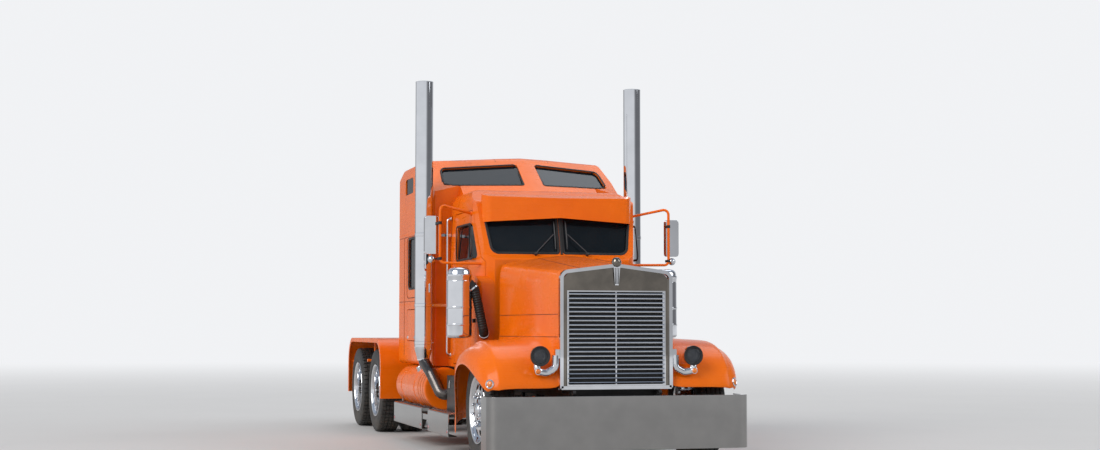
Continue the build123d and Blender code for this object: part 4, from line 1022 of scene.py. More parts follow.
def steer_wheel(count):
    """Front wheel about +Z: dished disc, nuts, hub cover and rim barrel."""
    bm = bmesh.new()
    bm.from_mesh(disc_with_holes(STEER_FACE, count, HAND_HOLE, 0.220))
    ring_of_nuts(bm, count, NUT_CIRCLE, 0.109, 0.034, 0.026)
    spun(bm, [(0.0, 0.140), (0.040, 0.139), (0.062, 0.134), (0.070, 0.125), (0.072, 0.112), (0.104, 0.108),
              (0.104, 0.098), (0.0, 0.098)], (0, 0, 0), UP, 40, index=1)
    spun(bm, [(0.284, 0.080), (0.279, 0.060), (0.270, -0.090), (0.292, -0.112), (0.316, -0.121),
              (0.316, -0.114), (0.292, -0.107), (0.290, 0.100)], (0, 0, 0), UP, 72)
    return kept_mesh("steer_wheel", bm)


def drive_wheel(count):
    """Pair of drive wheels about +Z: deep outer disc, nuts, axle end and the inner rim."""
    bm = bmesh.new()
    bm.from_mesh(disc_with_holes(DRIVE_FACE, count, HAND_HOLE, 0.222))
    ring_of_nuts(bm, count, NUT_CIRCLE, -0.147, 0.034, 0.026)
    spun(bm, [(0.0, 0.075), (0.050, 0.074), (0.080, 0.066), (0.088, 0.050), (0.092, -0.120), (0.112, -0.128),
              (0.112, -0.150), (0.0, -0.150)], (0, 0, 0), UP, 40, index=2)
    ring_of_nuts(bm, 8, 0.060, 0.070, 0.016, 0.008)
    gap = TWIN_GAP
    spun(bm, [(0.292, gap - 0.107), (0.316, gap - 0.114), (0.316, gap - 0.121), (0.268, gap - 0.112),
              (0.262, gap + 0.150), (0.112, gap + 0.150), (0.112, gap + 0.170), (0.270, gap + 0.172),
              (0.274, gap + 0.020), (0.280, gap + 0.112), (0.316, gap + 0.121), (0.316, gap + 0.114),
              (0.292, gap + 0.107)], (0, 0, 0), UP, 72)
    return kept_mesh("drive_wheel", bm)


class BuildWheels(bpy.types.Operator):
    """Polished wheels with nuts and hub covers, and tyres with tread"""
    bl_idname = "truck.wheels"
    bl_label = "Wheels and tyres"

    def execute(self, context):
        wheels = (steer_wheel(sizes().lugs), drive_wheel(sizes().lugs))
        tyres = []
        for steered in (True, False):
            bm = bmesh.new()
            tread(bm, sizes().tread_pitches, steered)
            tyres.append(kept_mesh("tyre_blank", bm))
        for side_name, side in SIDES:
            for row, y, x in (("front", 0.0, 1.014), ("drive_front", 5.2, 1.090),
                              ("drive_rear", 6.55, 1.090)):
                steered = row == "front"
                kind = 0 if steered else 1
                where = ("" if steered else row[6:] + "_") + side_name
                body = ("front_wheel_" if steered else "drive_wheel_") + where
                place = outward(side * x, y, side)
                piece("wheel_" + row + "_" + side_name, placed_copy(wheels[kind], place), "wheel_alloy",
                      body, replaces=(("front_wheel_" if steered else "drive_wheels_") + where,),
                      materials=("polished", "iron"))
                bm = placed_copy(tyres[kind], place)
                if not steered:
                    inner = Matrix.Translation((side * TWIN_GAP, 0.0, 0.0)) @ place
                    second = kept_mesh("tyre_inner", placed_copy(tyres[kind], inner))
                    bm.from_mesh(second)
                    bpy.data.meshes.remove(second)
                piece("tyre_" + row + "_" + side_name, bm, "tyre", body,
                      replaces=(("front_tyre_" if steered else "drive_tyres_") + where,))
        return {"FINISHED"}


class BuildGrille(bpy.types.Operator):
    """Peaked bright surround with a plain upper plate and polished bars"""
    bl_idname = "truck.grille"
    bl_label = "Grille"

    def execute(self, context):
        def place(u, v, w):
            return at(u, GRILLE_Y + w, v)
        outline = curve_outline([(-0.535, 0.704, 0.012), (0.535, 0.704, 0.012), (0.535, 1.775, 0.085),
                                 (0.0, 1.842, 0.5), (-0.535, 1.775, 0.085)], 8)
        bm = bmesh.new()
        frame_strip(bm, outline, 0.032, 0.050, place, rounding=0.0145)
        left, right, low, high = -0.462, 0.462, 0.743, 1.590
        rim = [(-0.505, 0.733), (0.505, 0.733), (0.505, 1.70), (0.45, 1.757), (0.0, 1.81), (-0.45, 1.757),
               (-0.505, 1.70)]
        field = [(left, low), (right, low), (right, high), (0.30, high), (0.0, high), (-0.30, high),
                 (left, high)]
        # Upper plate in the smoked metal: polished steel with a painted reflection of dark ground as its
        # colour
        ring_plate(bm, rim, field, lambda u, v, w: place(u, v, w + 0.024), 0.008, index=3)
        frame_strip(bm, [(left - 0.006, low - 0.006), (right + 0.006, low - 0.006),
                         (right + 0.006, high + 0.006), (left - 0.006, high + 0.006)], 0.012, 0.020,
                    lambda u, v, w: place(u, v, w + 0.004), rounding=0.003)
        count = sizes().bars
        pitch = 0.040
        for number in range(count):
            z = 0.765 + pitch * number
            bar = [(-0.0075, 0.026), (-0.0088, 0.014), (-0.006, 0.006), (0.0, 0.003), (0.006, 0.006),
                   (0.0088, 0.014), (0.0075, 0.026)]
            extruded(bm, [at(left - 0.002, GRILLE_Y + d, z + h) for h, d in bar],
                     (right - left + 0.004, 0, 0))
        for x in (-0.452, 0.0, 0.452):
            box(bm, at(x - 0.006, -0.676, 0.742), at(x + 0.006, -0.666, 1.592))
        for number in range(17):
            x = -0.42 + 0.0525 * number
            box(bm, at(x - 0.0015, -0.664, 0.745), at(x + 0.0015, -0.658, 1.588), index=1)
        box(bm, at(-0.50, -0.660, 0.735), at(0.50, -0.657, 1.60), index=1)
        # Plain rounded cap on the crown, in the smoked metal with its painted reflection colour, with a
        # tapered bar down the plate
        spun(bm, [(0.0, 0.038), (0.022, 0.034), (0.040, 0.016), (0.046, -0.010), (0.038, -0.036),
                  (0.020, -0.052), (0.0, -0.056)], at(0.0, -0.688, 1.862), UP, 28, index=3)
        extruded(bm, [at(-0.030, -0.706, 1.812), at(0.030, -0.706, 1.812), at(0.017, -0.700, 1.645),
                      at(-0.017, -0.700, 1.645)], (0, 0.016, 0), index=2)
        for x in (-0.012, 0.0, 0.012):
            tube(bm, [at(x * 1.5, -0.708, 1.805), at(x, -0.702, 1.655)], 0.0035, 8, index=1)
        # Slot 3, the smoked metal, carries a painted reflection in its dark brownish colour
        piece("grille_surround", bm, "polished", "hood", replaces=("grille",),
              materials=("rubber", "polished", "smoked"), bevel=0.0015, segments=1, angle=40.0)
        return {"FINISHED"}


class BuildLamps(bpy.types.Operator):
    """Round headlamps on curved arms, and the small marker lamps"""
    bl_idname = "truck.lamps"
    bl_label = "Lamps"

    def execute(self, context):
        bm = bmesh.new()
        lens = bmesh.new()
        signal = bmesh.new()
        for _, side in SIDES:
            centre = at(side * 0.726, LAMP_Y, LAMP_Z)
            spun(bm, [(0.0, 0.135), (0.030, 0.133), (0.058, 0.120), (0.078, 0.092), (0.088, 0.055),
                      (0.091, 0.022), (0.0905, 0.006), (0.084, 0.0), (0.079, 0.004), (0.079, 0.016),
                      (0.046, 0.026), (0.038, 0.034), (0.030, 0.055), (0.0, 0.070)], centre, BACK, 48)
            spun(bm, [(0.0785, 0.012), (0.0785, 0.016), (0.048, 0.026), (0.047, 0.021)], centre, BACK, 40,
                 index=1)
            spun(bm, [(0.0915, 0.010), (0.0895, -0.0015), (0.0800, 0.001), (0.0680, 0.006), (0.0680, 0.014),
                      (0.0850, 0.013)], centre, BACK, 48, index=1)
            spun(bm, [(0.0, 0.030), (0.014, 0.030), (0.019, 0.038), (0.019, 0.060), (0.0, 0.080)], centre,
                 BACK, 20)
            for turn_by in (45.0, 135.0):
                ends = [centre + Vector((x, 0.018, 0)) for x in (-0.066, 0.066)]
                rod = flat_list(tube(bm, ends, 0.0028, 8, index=1))
                rotate_about(bm, rod, centre, BACK, turn_by)
            spun(lens, [(0.0, 0.000), (0.030, 0.0015), (0.055, 0.005), (0.070, 0.010), (0.070, 0.013),
                        (0.054, 0.008), (0.030, 0.0045), (0.0, 0.003)], centre, BACK, 40)
            # Broad arm, from under the pod to a pad on the grille's side
            arm = fillet_line([(side * 0.742, 0.055, -0.070), (side * 0.742, 0.055, -0.140, 0.045),
                               (side * 0.655, 0.060, -0.152, 0.05), (side * 0.572, 0.062, -0.110, 0.06),
                               (side * 0.569, 0.064, 0.005)], steps=6)
            line = [at(p.x, LAMP_Y + p.y, LAMP_Z + p.z) for p in arm]
            tube(bm, line, 0.034, 18, index=0, flat=0.7, up=BACK)
            spun(bm, [(0.0, -0.040), (0.020, -0.036), (0.031, -0.020), (0.033, 0.010), (0.028, 0.030),
                      (0.0, 0.036)], at(side * 0.742, -0.680, 0.900), DOWN, 24)
            extruded(bm, [at(side * 0.536, -0.690, 0.985), at(side * 0.536, -0.655, 0.985),
                          at(side * 0.536, -0.655, 1.065), at(side * 0.536, -0.690, 1.065)],
                     (side * 0.040, 0, 0))
            dome(signal, at(side * 0.742, -0.712, 0.868), (0, -1, 0), 0.024, 0.010, 20)
            spun(bm, [(0.0, 0.0), (0.024, -0.006), (0.029, -0.004), (0.029, 0.030), (0.0, 0.040)],
                 at(side * 0.742, -0.706, 0.868), BACK, 24)
        piece("headlamp_pods", bm, "polished", "hood", replaces=("headlights",), materials=("rubber",))
        piece("headlamp_lenses", lens, "lens", "hood")
        piece("turn_signals", signal, "amber", "hood")

        bm = bmesh.new()
        rims = bmesh.new()
        shell = surface_of(bpy.data.objects["hood_shell"])
        for _, side in SIDES:
            spot, axis = shell.find_nearest(at(side * 1.180, -0.640, 0.762))[:2]
            dome(bm, spot, axis, 0.030, 0.014, 24)
            spun(rims, [(0.030, -0.010), (0.041, -0.008), (0.042, 0.003), (0.035, 0.007), (0.030, 0.005)],
                 spot, axis, 28)
        piece("fender_markers", bm, "amber", "hood")
        piece("fender_marker_rims", rims, "polished", "hood")

        bm = bmesh.new()
        rims = bmesh.new()
        for _, side in SIDES:
            for y in (1.03, 1.965, 2.385, 3.925):
                dome(bm, at(side * 1.1995, y, 0.240), (side, 0, 0), 0.018, 0.008, 16)
                spun(rims, [(0.018, -0.004), (0.024, -0.003), (0.024, 0.002), (0.018, 0.004)],
                     at(side * 1.1995, y, 0.240), (side, 0, 0), 20)
            for x in (0.42, 0.62, 0.82):
                dome(bm, at(side * x, 7.490, 0.750), BACK, 0.055, 0.014, 28)
                spun(rims, [(0.055, -0.006), (0.064, -0.004), (0.065, 0.004), (0.058, 0.008),
                            (0.055, 0.006)], at(side * x, 7.490, 0.750), BACK, 32)
        piece("red_markers", bm, "red_lens", "chassis")
        piece("red_marker_rims", rims, "polished", "chassis")
        return {"FINISHED"}


class BuildCanisters(bpy.types.Operator):
    """Air cleaners, intake ducts and exhaust stacks"""
    bl_idname = "truck.canisters"
    bl_label = "Air cleaners and stacks"

    def execute(self, context):
        bm = bmesh.new()
        for _, side in SIDES:
            base = at(side * 1.075, 1.060, 1.158)
            profile = [(0.0, 0.0), (0.090, 0.000), (0.112, 0.006), (0.122, 0.020), (0.124, 0.030)]
            for z in (0.132, 0.302):
                profile += [(0.124, z - 0.012), (0.1275, z - 0.009), (0.1275, z + 0.009), (0.124, z + 0.012)]
            profile += [(0.124, 0.560), (0.121, 0.566), (0.121, 0.574), (0.124, 0.580)]
            profile += [(0.124, 0.600), (0.128, 0.604), (0.128, 0.628), (0.120, 0.634), (0.119, 0.650),
                        (0.112, 0.672), (0.094, 0.690), (0.060, 0.699), (0.0, 0.701)]
            spun(bm, profile, base, UP, 64)
            for z in (0.172, 0.532):
                box(bm, base + Vector((-side * 0.215 - 0.03, 0.076, z - 0.02)),
                    base + Vector((-side * 0.215 + 0.03 + side * 0.09, 0.116, z + 0.02)), index=1)
            for z in (0.132, 0.302, 0.616):
                box(bm, base + Vector((-0.012 + side * 0.02, -0.138, z - 0.008)),
                    base + Vector((0.012 + side * 0.02, -0.124, z + 0.008)))
                hex_nut(bm, base + Vector((side * 0.02 + 0.010, -0.131, z)), (1, 0, 0), 0.010, 0.008)
        piece("air_cleaner_cans", bm, "polished", "chassis", replaces=("air_cleaners",),
              materials=("frame_paint",), bevel=0.0012, segments=1, angle=50.0)

        bm = bmesh.new()
        for _, side in SIDES:
            line = side_line(side, DUCT_ROUTE, 8)
            fine = []
            for first, second in zip(line, line[1:]):
                parts = max(1, int((second - first).length / 0.012))
                fine += [first.lerp(second, step / parts) for step in range(parts)]
            fine.append(line[-1])
            rings = tube(bm, [at(*p) for p in fine], 0.048, 20)
            count = len(fine)
            for number in range(count):
                if number % 2 and 0.15 < number / count < 0.85:
                    centre = at(*fine[number])
                    for vert in rings[number]:
                        vert.co = centre + (vert.co - centre) * 0.88
            for number in (int(count * 0.1), int(count * 0.9)):
                centre = at(*fine[number])
                along = (fine[min(number + 1, count - 1)] - fine[number - 1]).normalized()
                spun(bm, [(0.0485, -0.008), (0.052, -0.007), (0.052, 0.007), (0.0485, 0.008)], centre, along,
                     28, index=1)
        piece("intake_ducts", bm, "rubber", "chassis", replaces=("intake_pipes",), materials=("polished",))

        bm = bmesh.new()
        for _, side in SIDES:
            base = at(side * STACK[0], STACK[1], 1.0)
            spun(bm, [(0.0, -0.070), (0.066, -0.070), (0.074, -0.035), (0.092, 0.030), (0.095, 0.060),
                      (0.095, 2.885), (0.0965, 2.892), (0.094, 2.895), (0.089, 2.893), (0.089, 2.40),
                      (0.0, 2.39)], base, UP, 72)
            spun(bm, [(0.0870, 2.405), (0.0888, 2.405), (0.0888, 2.891), (0.0870, 2.891)], base, UP, 48,
                 index=1)
            for z in (1.10, 1.50, 2.25):
                spun(bm, [(0.095, -0.018), (0.0985, -0.015), (0.0985, 0.015), (0.095, 0.018)],
                     at(side * STACK[0], STACK[1], z), UP, 64)
                hex_nut(bm, at(side * STACK[0] - side * 0.098, 2.384, z), (0, -1, 0), 0.014, 0.012)
            for z in (1.50, 2.25):
                side_box(bm, side, (0.875, 2.384, z - 0.015), (1.09, 2.424, z + 0.015))
            line = side_line(side, ELBOW_ROUTE, 9)
            tube(bm, [at(*p) for p in line], 0.060, 36, index=1)
            spun(bm, [(0.060, -0.02), (0.066, -0.018), (0.066, 0.018), (0.060, 0.02)],
                 at(side * 1.168, 2.402, 0.932), UP, 40)
        piece("exhaust_pipes", bm, "polished", "chassis", replaces=("exhaust_stacks",), materials=("burnt",))
        return {"FINISHED"}


class BuildTanks(bpy.types.Operator):
    """Fuel tanks with domed ends, straps and fillers"""
    bl_idname = "truck.tanks"
    bl_label = "Fuel tanks"

    def execute(self, context):
        bm = bmesh.new()
        for _, side in SIDES:
            base = at(side * 0.955, 2.290, 0.615)
            profile = [(0.0, 0.012), (0.10, 0.010), (0.17, 0.004), (0.205, 0.000), (0.219, 0.006),
                       (0.225, 0.022)]
            for y in (0.11, 0.24, 0.37):
                profile += [(0.225, y - 0.010), (0.2285, y - 0.006), (0.2285, y + 0.006), (0.225, y + 0.010)]
            profile += [(0.225, 1.648), (0.219, 1.664), (0.205, 1.670), (0.17, 1.666), (0.10, 1.660),
                        (0.0, 1.658)]
            spun(bm, profile, base, BACK, 80)
            for y in (0.11, 0.24, 0.37):
                for edge in (-0.013, 0.013):
                    spun(bm, [(0.2252, -0.003), (0.2265, -0.003), (0.2265, 0.003), (0.2252, 0.003)],
                         base + Vector((0, y + edge, 0)), BACK, 80, index=2)
            for y in (0.62, 1.36):
                spun(bm, [(0.2255, -0.030), (0.229, -0.028), (0.229, 0.028), (0.2255, 0.030)],
                     base + Vector((0, y, 0)), BACK, 80)
            for y in (2.500, 3.650):
                side_box(bm, side, (0.43, y - 0.04, 0.640), (0.79, y + 0.04, 0.720), index=2)
            cap = base + Vector((side * 0.120, 0.72, 0.190))
            axis = Vector((side * 0.5, 0, 0.86)).normalized()
            spun(bm, [(0.0, 0.046), (0.034, 0.044), (0.040, 0.036), (0.040, 0.010), (0.046, 0.006),
                      (0.046, -0.02), (0.0, -0.02)], cap, axis, 24, index=1)
        piece("fuel_tank_shells", bm, "orange_paint", "chassis", replaces=("fuel_tanks",),
              materials=("polished", "frame_paint"))
        return {"FINISHED"}


class BuildMirrors(bpy.types.Operator):
    """Door mirrors on tube arms"""
    bl_idname = "truck.mirrors"
    bl_label = "Mirrors"

    def execute(self, context):
        for side_name, side in SIDES:
            body = "door_" + side_name
            arms = bmesh.new()
            line = side_line(side, MIRROR_ARM, 7)
            tube(arms, [at(*p) for p in line], 0.0135, 14)
            spun(arms, [(0.0, 0.012), (0.020, 0.010), (0.024, 0.0), (0.024, -0.010), (0.0, -0.010)],
                 at(side * 0.860, 1.477, 2.422), (side, -0.35, 0.2), 18)
            piece("mirror_arm_" + side_name, arms, "orange_paint", body, replaces=("mirror_" + side_name,))
            head = bmesh.new()
            outline = rounded_rectangle((1.214, 2.003), (1.355, 2.389), 0.030, 6)
            extruded(head, [at(side * u, 1.408, v) for u, v in outline], (0, 0.074, 0))
            for z in (2.315, 1.955):
                side_box(head, side, (1.206, 1.332, z - 0.013), (1.232, 1.420, z + 0.013), index=1)
                spun(head, [(0.0135, -0.016), (0.019, -0.014), (0.019, 0.014), (0.0135, 0.016)],
                     at(side * 1.216, 1.335, z), UP, 20, index=1)
            side_box(head, side, (1.220, 1.405, 1.948), (1.288, 1.420, 1.962), index=1)
            spun(head, [(0.0, -0.024), (0.020, -0.021), (0.034, -0.010), (0.038, 0.006), (0.038, 0.020),
                        (0.0, 0.020)], at(side * 1.285, 1.418, 1.952), BACK, 32)
            piece("mirror_head_" + side_name, head, "polished", body, materials=("rubber",), bevel=0.006,
                  segments=3, angle=50.0)
            faces = bmesh.new()
            inner = rounded_rectangle((1.224, 2.013), (1.345, 2.379), 0.022, 5)
            extruded(faces, [at(side * u, 1.4815, v) for u, v in inner], (0, 0.003, 0))
            spun(faces, [(0.0, 0.0265), (0.018, 0.0245), (0.033, 0.020), (0.0, 0.019)],
                 at(side * 1.285, 1.418, 1.952), BACK, 28)
            piece("mirror_face_" + side_name, faces, "bowl", body)
        return {"FINISHED"}


SCREEN_BASE = Vector((0.0, 1.135, 1.995))
SCREEN_ACROSS = Vector((0.880, 0.060, 0.0)).normalized()
SCREEN_UP = Vector((0.0, 0.165, 0.545)).normalized()
SCREEN_OUT = SCREEN_ACROSS.cross(SCREEN_UP).normalized()
SCREEN_OUTLINE = ((0.026, 0.018, 0.025), (0.712, 0.018, 0.085), (0.770, 0.420, 0.060), (0.026, 0.420, 0.025))
DOOR_WINDOW = ((1.330, 1.962, 0.040), (1.438, 2.318, 0.040), (2.112, 2.318, 0.060), (2.112, 1.962, 0.050))
CAP_WINDOW = ((0.105, 2.792, 0.030), (0.097, 3.050, 0.040), (0.900, 3.012, 0.060), (0.925, 2.800, 0.040))
SIDE_WINDOW = ((3.420, 1.705, 0.060), (3.420, 2.280, 0.060), (3.850, 2.280, 0.060), (3.850, 1.705, 0.060))
SIDE_DOOR = ((3.330, 1.600, 0.080), (3.330, 2.290, 0.080), (3.940, 2.290, 0.080), (3.940, 1.600, 0.080))


def on_screen(u, v, w, side):
    """Point on one half of the windscreen: across, up and out from its plane."""
    spot = SCREEN_BASE + SCREEN_ACROSS * u + SCREEN_UP * v + SCREEN_OUT * w
    return at(spot.x * side, spot.y, spot.z)


def screen_out(side):
    """Outward direction of one half of the windscreen."""
    return Vector((SCREEN_OUT.x * side, SCREEN_OUT.y, SCREEN_OUT.z))


def outline_on(tree, rows, place, direction):
    """Rounded outline of (u, v, radius) laid on a surface as a closed line."""
    points = [place(u, v) for u, v in curve_outline(rows)]
    return laid(tree, points + points[:1], direction, spacing=0.05)[:-1]


class BuildGaskets(bpy.types.Operator):
    """Rubber seals round the windscreen and the other windows"""
    bl_idname = "truck.gaskets"
    bl_label = "Window seals"

    def execute(self, context):
        sleeper = surface_of("sleeper_body")
        fixed = bmesh.new()
        for side_name, side in SIDES:
            line = [on_screen(u, v, -0.003, side) for u, v in curve_outline(SCREEN_OUTLINE, 8)]
            tube(fixed, line, 0.015, 10, closed=True, flat=0.45, up=screen_out(side))
            cap = outline_on(sleeper, CAP_WINDOW, lambda u, v: at(side * u, 2.2, v), BACK)
            tube(fixed, cap, 0.012, 8, closed=True, flat=0.5, up=(side * 0.2, -0.5, 0.8))
            pane = outline_on(sleeper, SIDE_WINDOW, lambda u, v: at(side * 1.06, u, v), (-side, 0, 0))
            tube(fixed, pane, 0.013, 8, closed=True, flat=0.5, up=(side, 0, 0))
            moving = bmesh.new()
            line = [at(side * 0.8805, u, v) for u, v in curve_outline(DOOR_WINDOW, 8)]
            tube(moving, line, 0.011, 8, closed=True, flat=0.5, up=(side, 0, 0))
            side_box(moving, side, (0.868, 1.500, 1.970), (0.879, 1.514, 2.315))
            piece("door_seals_" + side_name, moving, "rubber", "door_" + side_name)
        post = [on_screen(0.0, v, 0.004, 1.0) for v in (0.005, 0.2, 0.43)]
        tube(fixed, post, 0.013, 10, flat=0.5, up=(0, -1, 0.3))
        piece("window_seals", fixed, "rubber", "chassis")

        wipers = bmesh.new()
        for side in (1.0, -1.0):
            foot = on_screen(0.270, 0.004, 0.020, side)
            elbow = on_screen(0.240, 0.040, 0.040, side)
            tip = on_screen(0.072, 0.215, 0.026, side)
            spun(wipers, [(0.0, 0.030), (0.012, 0.028), (0.016, 0.014), (0.018, -0.012), (0.0, -0.012)],
                 foot, screen_out(side), 16)
            tube(wipers, [foot + screen_out(side) * 0.018, elbow, tip], 0.0060, 8, flat=0.5,
                 up=screen_out(side))
            blade = [on_screen(0.060, 0.060 + 0.075 * step, 0.014, side) for step in range(5)]
            tube(wipers, blade, 0.0042, 6, flat=1.3, up=screen_out(side))
            ends = [on_screen(0.060, 0.080, 0.024, side), on_screen(0.060, 0.210, 0.034, side),
                    on_screen(0.060, 0.340, 0.024, side)]
            tube(wipers, ends, 0.0045, 6, flat=0.7, up=screen_out(side))
        piece("wipers", wipers, "dark_plastic", "chassis")
        return {"FINISHED"}


class BuildTrim(bpy.types.Operator):
    """Grab rails, door handles, hinges, panel seams and rivets"""
    bl_idname = "truck.trim"
    bl_label = "Rails, handles and seams"

    def execute(self, context):
        rails = bmesh.new()
        for side in (1.0, -1.0):
            tube(rails, [at(*p) for p in side_line(side, CAB_RAIL, 6)], 0.0135, 16)
            for z in (0.975, 2.425):
                dome(rails, at(side * 0.879, 2.392, z), (side, 0, 0), 0.028, 0.010, 20)
            tube(rails, [at(*p) for p in side_line(side, SLEEPER_RAIL, 6)], 0.0125, 14)
        piece("grab_rails", rails, "polished", "chassis")

        for side_name, side in SIDES:
            handle = bmesh.new()
            plate = rounded_rectangle((2.145, 1.640), (2.275, 1.735), 0.028, 5)
            extruded(handle, [at(side * 0.878, u, v) for u, v in plate], (side * 0.006, 0, 0))
            grip = curve_outline([(2.160, 1.662, 0.012), (2.262, 1.662, 0.012), (2.262, 1.700, 0.016),
                                  (2.160, 1.712, 0.016)], 5)
            extruded(handle, [at(side * 0.888, u, v) for u, v in grip], (side * 0.012, 0, 0))
            side_box(handle, side, (0.882, 2.250, 1.668), (0.892, 2.260, 1.694))
            dome(handle, at(side * 0.884, 2.170, 1.723), (side, 0, 0), 0.009, 0.004, 14)
            for z in (1.000, 1.600):
                spun(handle, [(0.0, 0.083), (0.0105, 0.082), (0.012, 0.079), (0.012, 0.001),
                              (0.0105, -0.002), (0.0, -0.003)], at(side * 0.880, 1.1945, z), UP, 20)
            piece("door_hardware_" + side_name, handle, "polished", "door_" + side_name, bevel=0.0015,
                  angle=50.0)
            latch = bmesh.new()
            for y in (3.46, 3.87):
                dome(latch, at(side * 1.0625, y, 1.150), (side, 0, 0), 0.022, 0.008, 20)
                side_box(latch, side, (1.064, y - 0.016, 1.144), (1.074, y + 0.016, 1.156))
            piece("baggage_latches_" + side_name, latch, "polished", "baggage_door_" + side_name,
                  bevel=0.0015, angle=50.0)

        cowl = bmesh.new()
        for side in (1.0, -1.0):
            box(cowl, at(side * 0.795 - 0.040, 1.128, 1.690), at(side * 0.795 + 0.040, 1.165, 1.722))
            for x in (-0.022, 0.022):
                hex_nut(cowl, at(side * 0.795 + x, 1.146, 1.720), UP, 0.018, 0.009, index=1)
        piece("cowl_brackets", cowl, "orange_paint", "chassis", materials=("iron",), bevel=0.003)

        cab = surface_of("cab_body")
        sleeper = surface_of("sleeper_body")
        seams = bmesh.new()
        rivets = bmesh.new()
        for side in (1.0, -1.0):
            across = (-side, 0, 0)
            lines = [(cab, [at(side, 1.02, 1.08), at(side, 1.02, 1.76)], across),
                     (cab, [at(side, 2.40, 1.02), at(side, 2.40, 2.46)], across),
                     (cab, [at(side, 1.10, 0.93), at(side, 2.47, 0.93)], across),
                     (sleeper, [at(side, 2.56, 2.303), at(side, 4.48, 2.303)], across),
                     (sleeper, [at(side, 2.56, 1.560), at(side, 4.48, 1.560)], across),
                     (sleeper, [at(side, 3.245, 0.95), at(side, 3.245, 1.555)], across),
                     (sleeper, [at(side, 4.100, 0.95), at(side, 4.100, 2.298)], across),
                     (sleeper, [at(side * 0.78, 4.6, 0.95), at(side * 0.78, 4.6, 2.95)], (0, -1, 0))]
            lines.append((sleeper, [at(side * 0.02, 4.6, 2.303), at(side * 1.02, 4.6, 2.303)], (0, -1, 0)))
            lines.append((sleeper, [at(side * 0.30, 2.75, 3.4), at(side * 0.30, 4.42, 3.4)], DOWN))
            for tree, points, direction in lines:
                line = laid(tree, points, direction, spacing=0.06)
                if len(line) > 1:
                    tube(seams, line, SEAM_RADIUS, 6)
            door_line = outline_on(sleeper, SIDE_DOOR, lambda u, v: at(side * 1.06, u, v), across)
            tube(seams, door_line, 0.0045, 6, closed=True)
            for tree, points, direction, number in (
                    (sleeper, (at(side, 2.60, 2.335), at(side, 4.44, 2.335)), across, 24),
                    (sleeper, (at(side, 2.60, 1.530), at(side, 4.44, 1.530)), across, 24),
                    (sleeper, (at(side * 0.81, 4.6, 1.0), at(side * 0.81, 4.6, 2.9)), (0, -1, 0), 24),
                    (sleeper, (at(side * 0.06, 4.6, 2.335), at(side * 1.0, 4.6, 2.335)), (0, -1, 0), 12),
                    (cab, (at(side, 2.43, 1.04), at(side, 2.43, 2.44)), across, 20)):
                for step in range(number):
                    spot = points[0].lerp(points[1], step / (number - 1))
                    found = laid(tree, [spot, spot + Vector((0, 0, 1e-4))], direction)
                    if found:
                        dome(rivets, found[0], [-v for v in direction], 0.0065, 0.003, 8)
        tube(seams, laid(cab, [at(-0.60, 0.6, 1.900), at(0.60, 0.6, 1.900)], BACK, spacing=0.05), 0.0035, 6)
        piece("panel_seams", seams, "seam", "chassis")
        piece("panel_rivets", rivets, "orange_paint", "chassis")

        shell = surface_of(bpy.data.objects["hood_shell"])
        seams = bmesh.new()
        for side in (1.0, -1.0):
            for z in (1.382, 1.177):
                line = laid(shell, [at(side * 1.3, -0.60, z), at(side * 1.3, 0.95, z)], (-side, 0, 0),
                            spacing=0.05)
                line = [p for p in line if abs(p.x) < 0.80]
                if len(line) > 1:
                    tube(seams, line, SEAM_RADIUS, 6)
            line = laid(shell, [at(side * 0.30, -0.60, 2.4), at(side * 0.30, 0.93, 2.4)], DOWN, spacing=0.08)
            if len(line) > 1:
                tube(seams, line, SEAM_RADIUS, 6)
        piece("hood_seams", seams, "seam", "hood")
        return {"FINISHED"}


# Interior

def pad(name, low, high, voxel, crown, channels, place=None):
    """Cushion: a crowned box, puffed by cloth under pressure, with sewn channels."""
    low, high = Vector(low), Vector(high)
    bm = bmesh.new()
    box(bm, low, high)
    middle = (low + high) / 2
    bmesh.ops.bevel(bm, geom=bm.edges[:], offset=min(0.035, (high.z - low.z) * 0.35), segments=4,
                    profile=0.5, affect="EDGES", material=-1)
    bmesh.ops.subdivide_edges(bm, edges=[e for e in bm.edges if e.calc_length() > 0.1], cuts=6,
                              use_grid_fill=True)
    half = (high - low) / 2
    for vert in bm.verts:
        u = (vert.co.x - middle.x) / half.x
        v = (vert.co.y - middle.y) / half.y
        if vert.co.z > middle.z:
            vert.co.z += crown * (1 - u * u) * (1 - v * v)
        pull = 0.012 * (u * u) * (1 - v * v)
        vert.co.x -= math.copysign(pull, u)
        vert.co.y -= math.copysign(0.010 * (v * v) * (1 - u * u), v)
    if place is not None:
        bmesh.ops.transform(bm, matrix=place, verts=bm.verts)
    made = piece(name, bm, "cloth", "chassis")
    puffed(made, voxel)
    mesh = made.data
    forward = place if place is not None else Matrix.Identity(4)
    back = forward.inverted()
    for vert in mesh.vertices:
        spot = back @ vert.co
        if spot.z > middle.z:
            for axis, value in channels:
                spot.z -= SEWN_DEPTH * math.exp(-((spot[axis] - value) / SEWN_DEPTH) ** 2)
            vert.co = forward @ spot
    mesh.shade_smooth()
    surface = made.modifiers.new("surface", "SUBSURF")
    surface.levels = 1
    surface.render_levels = 1


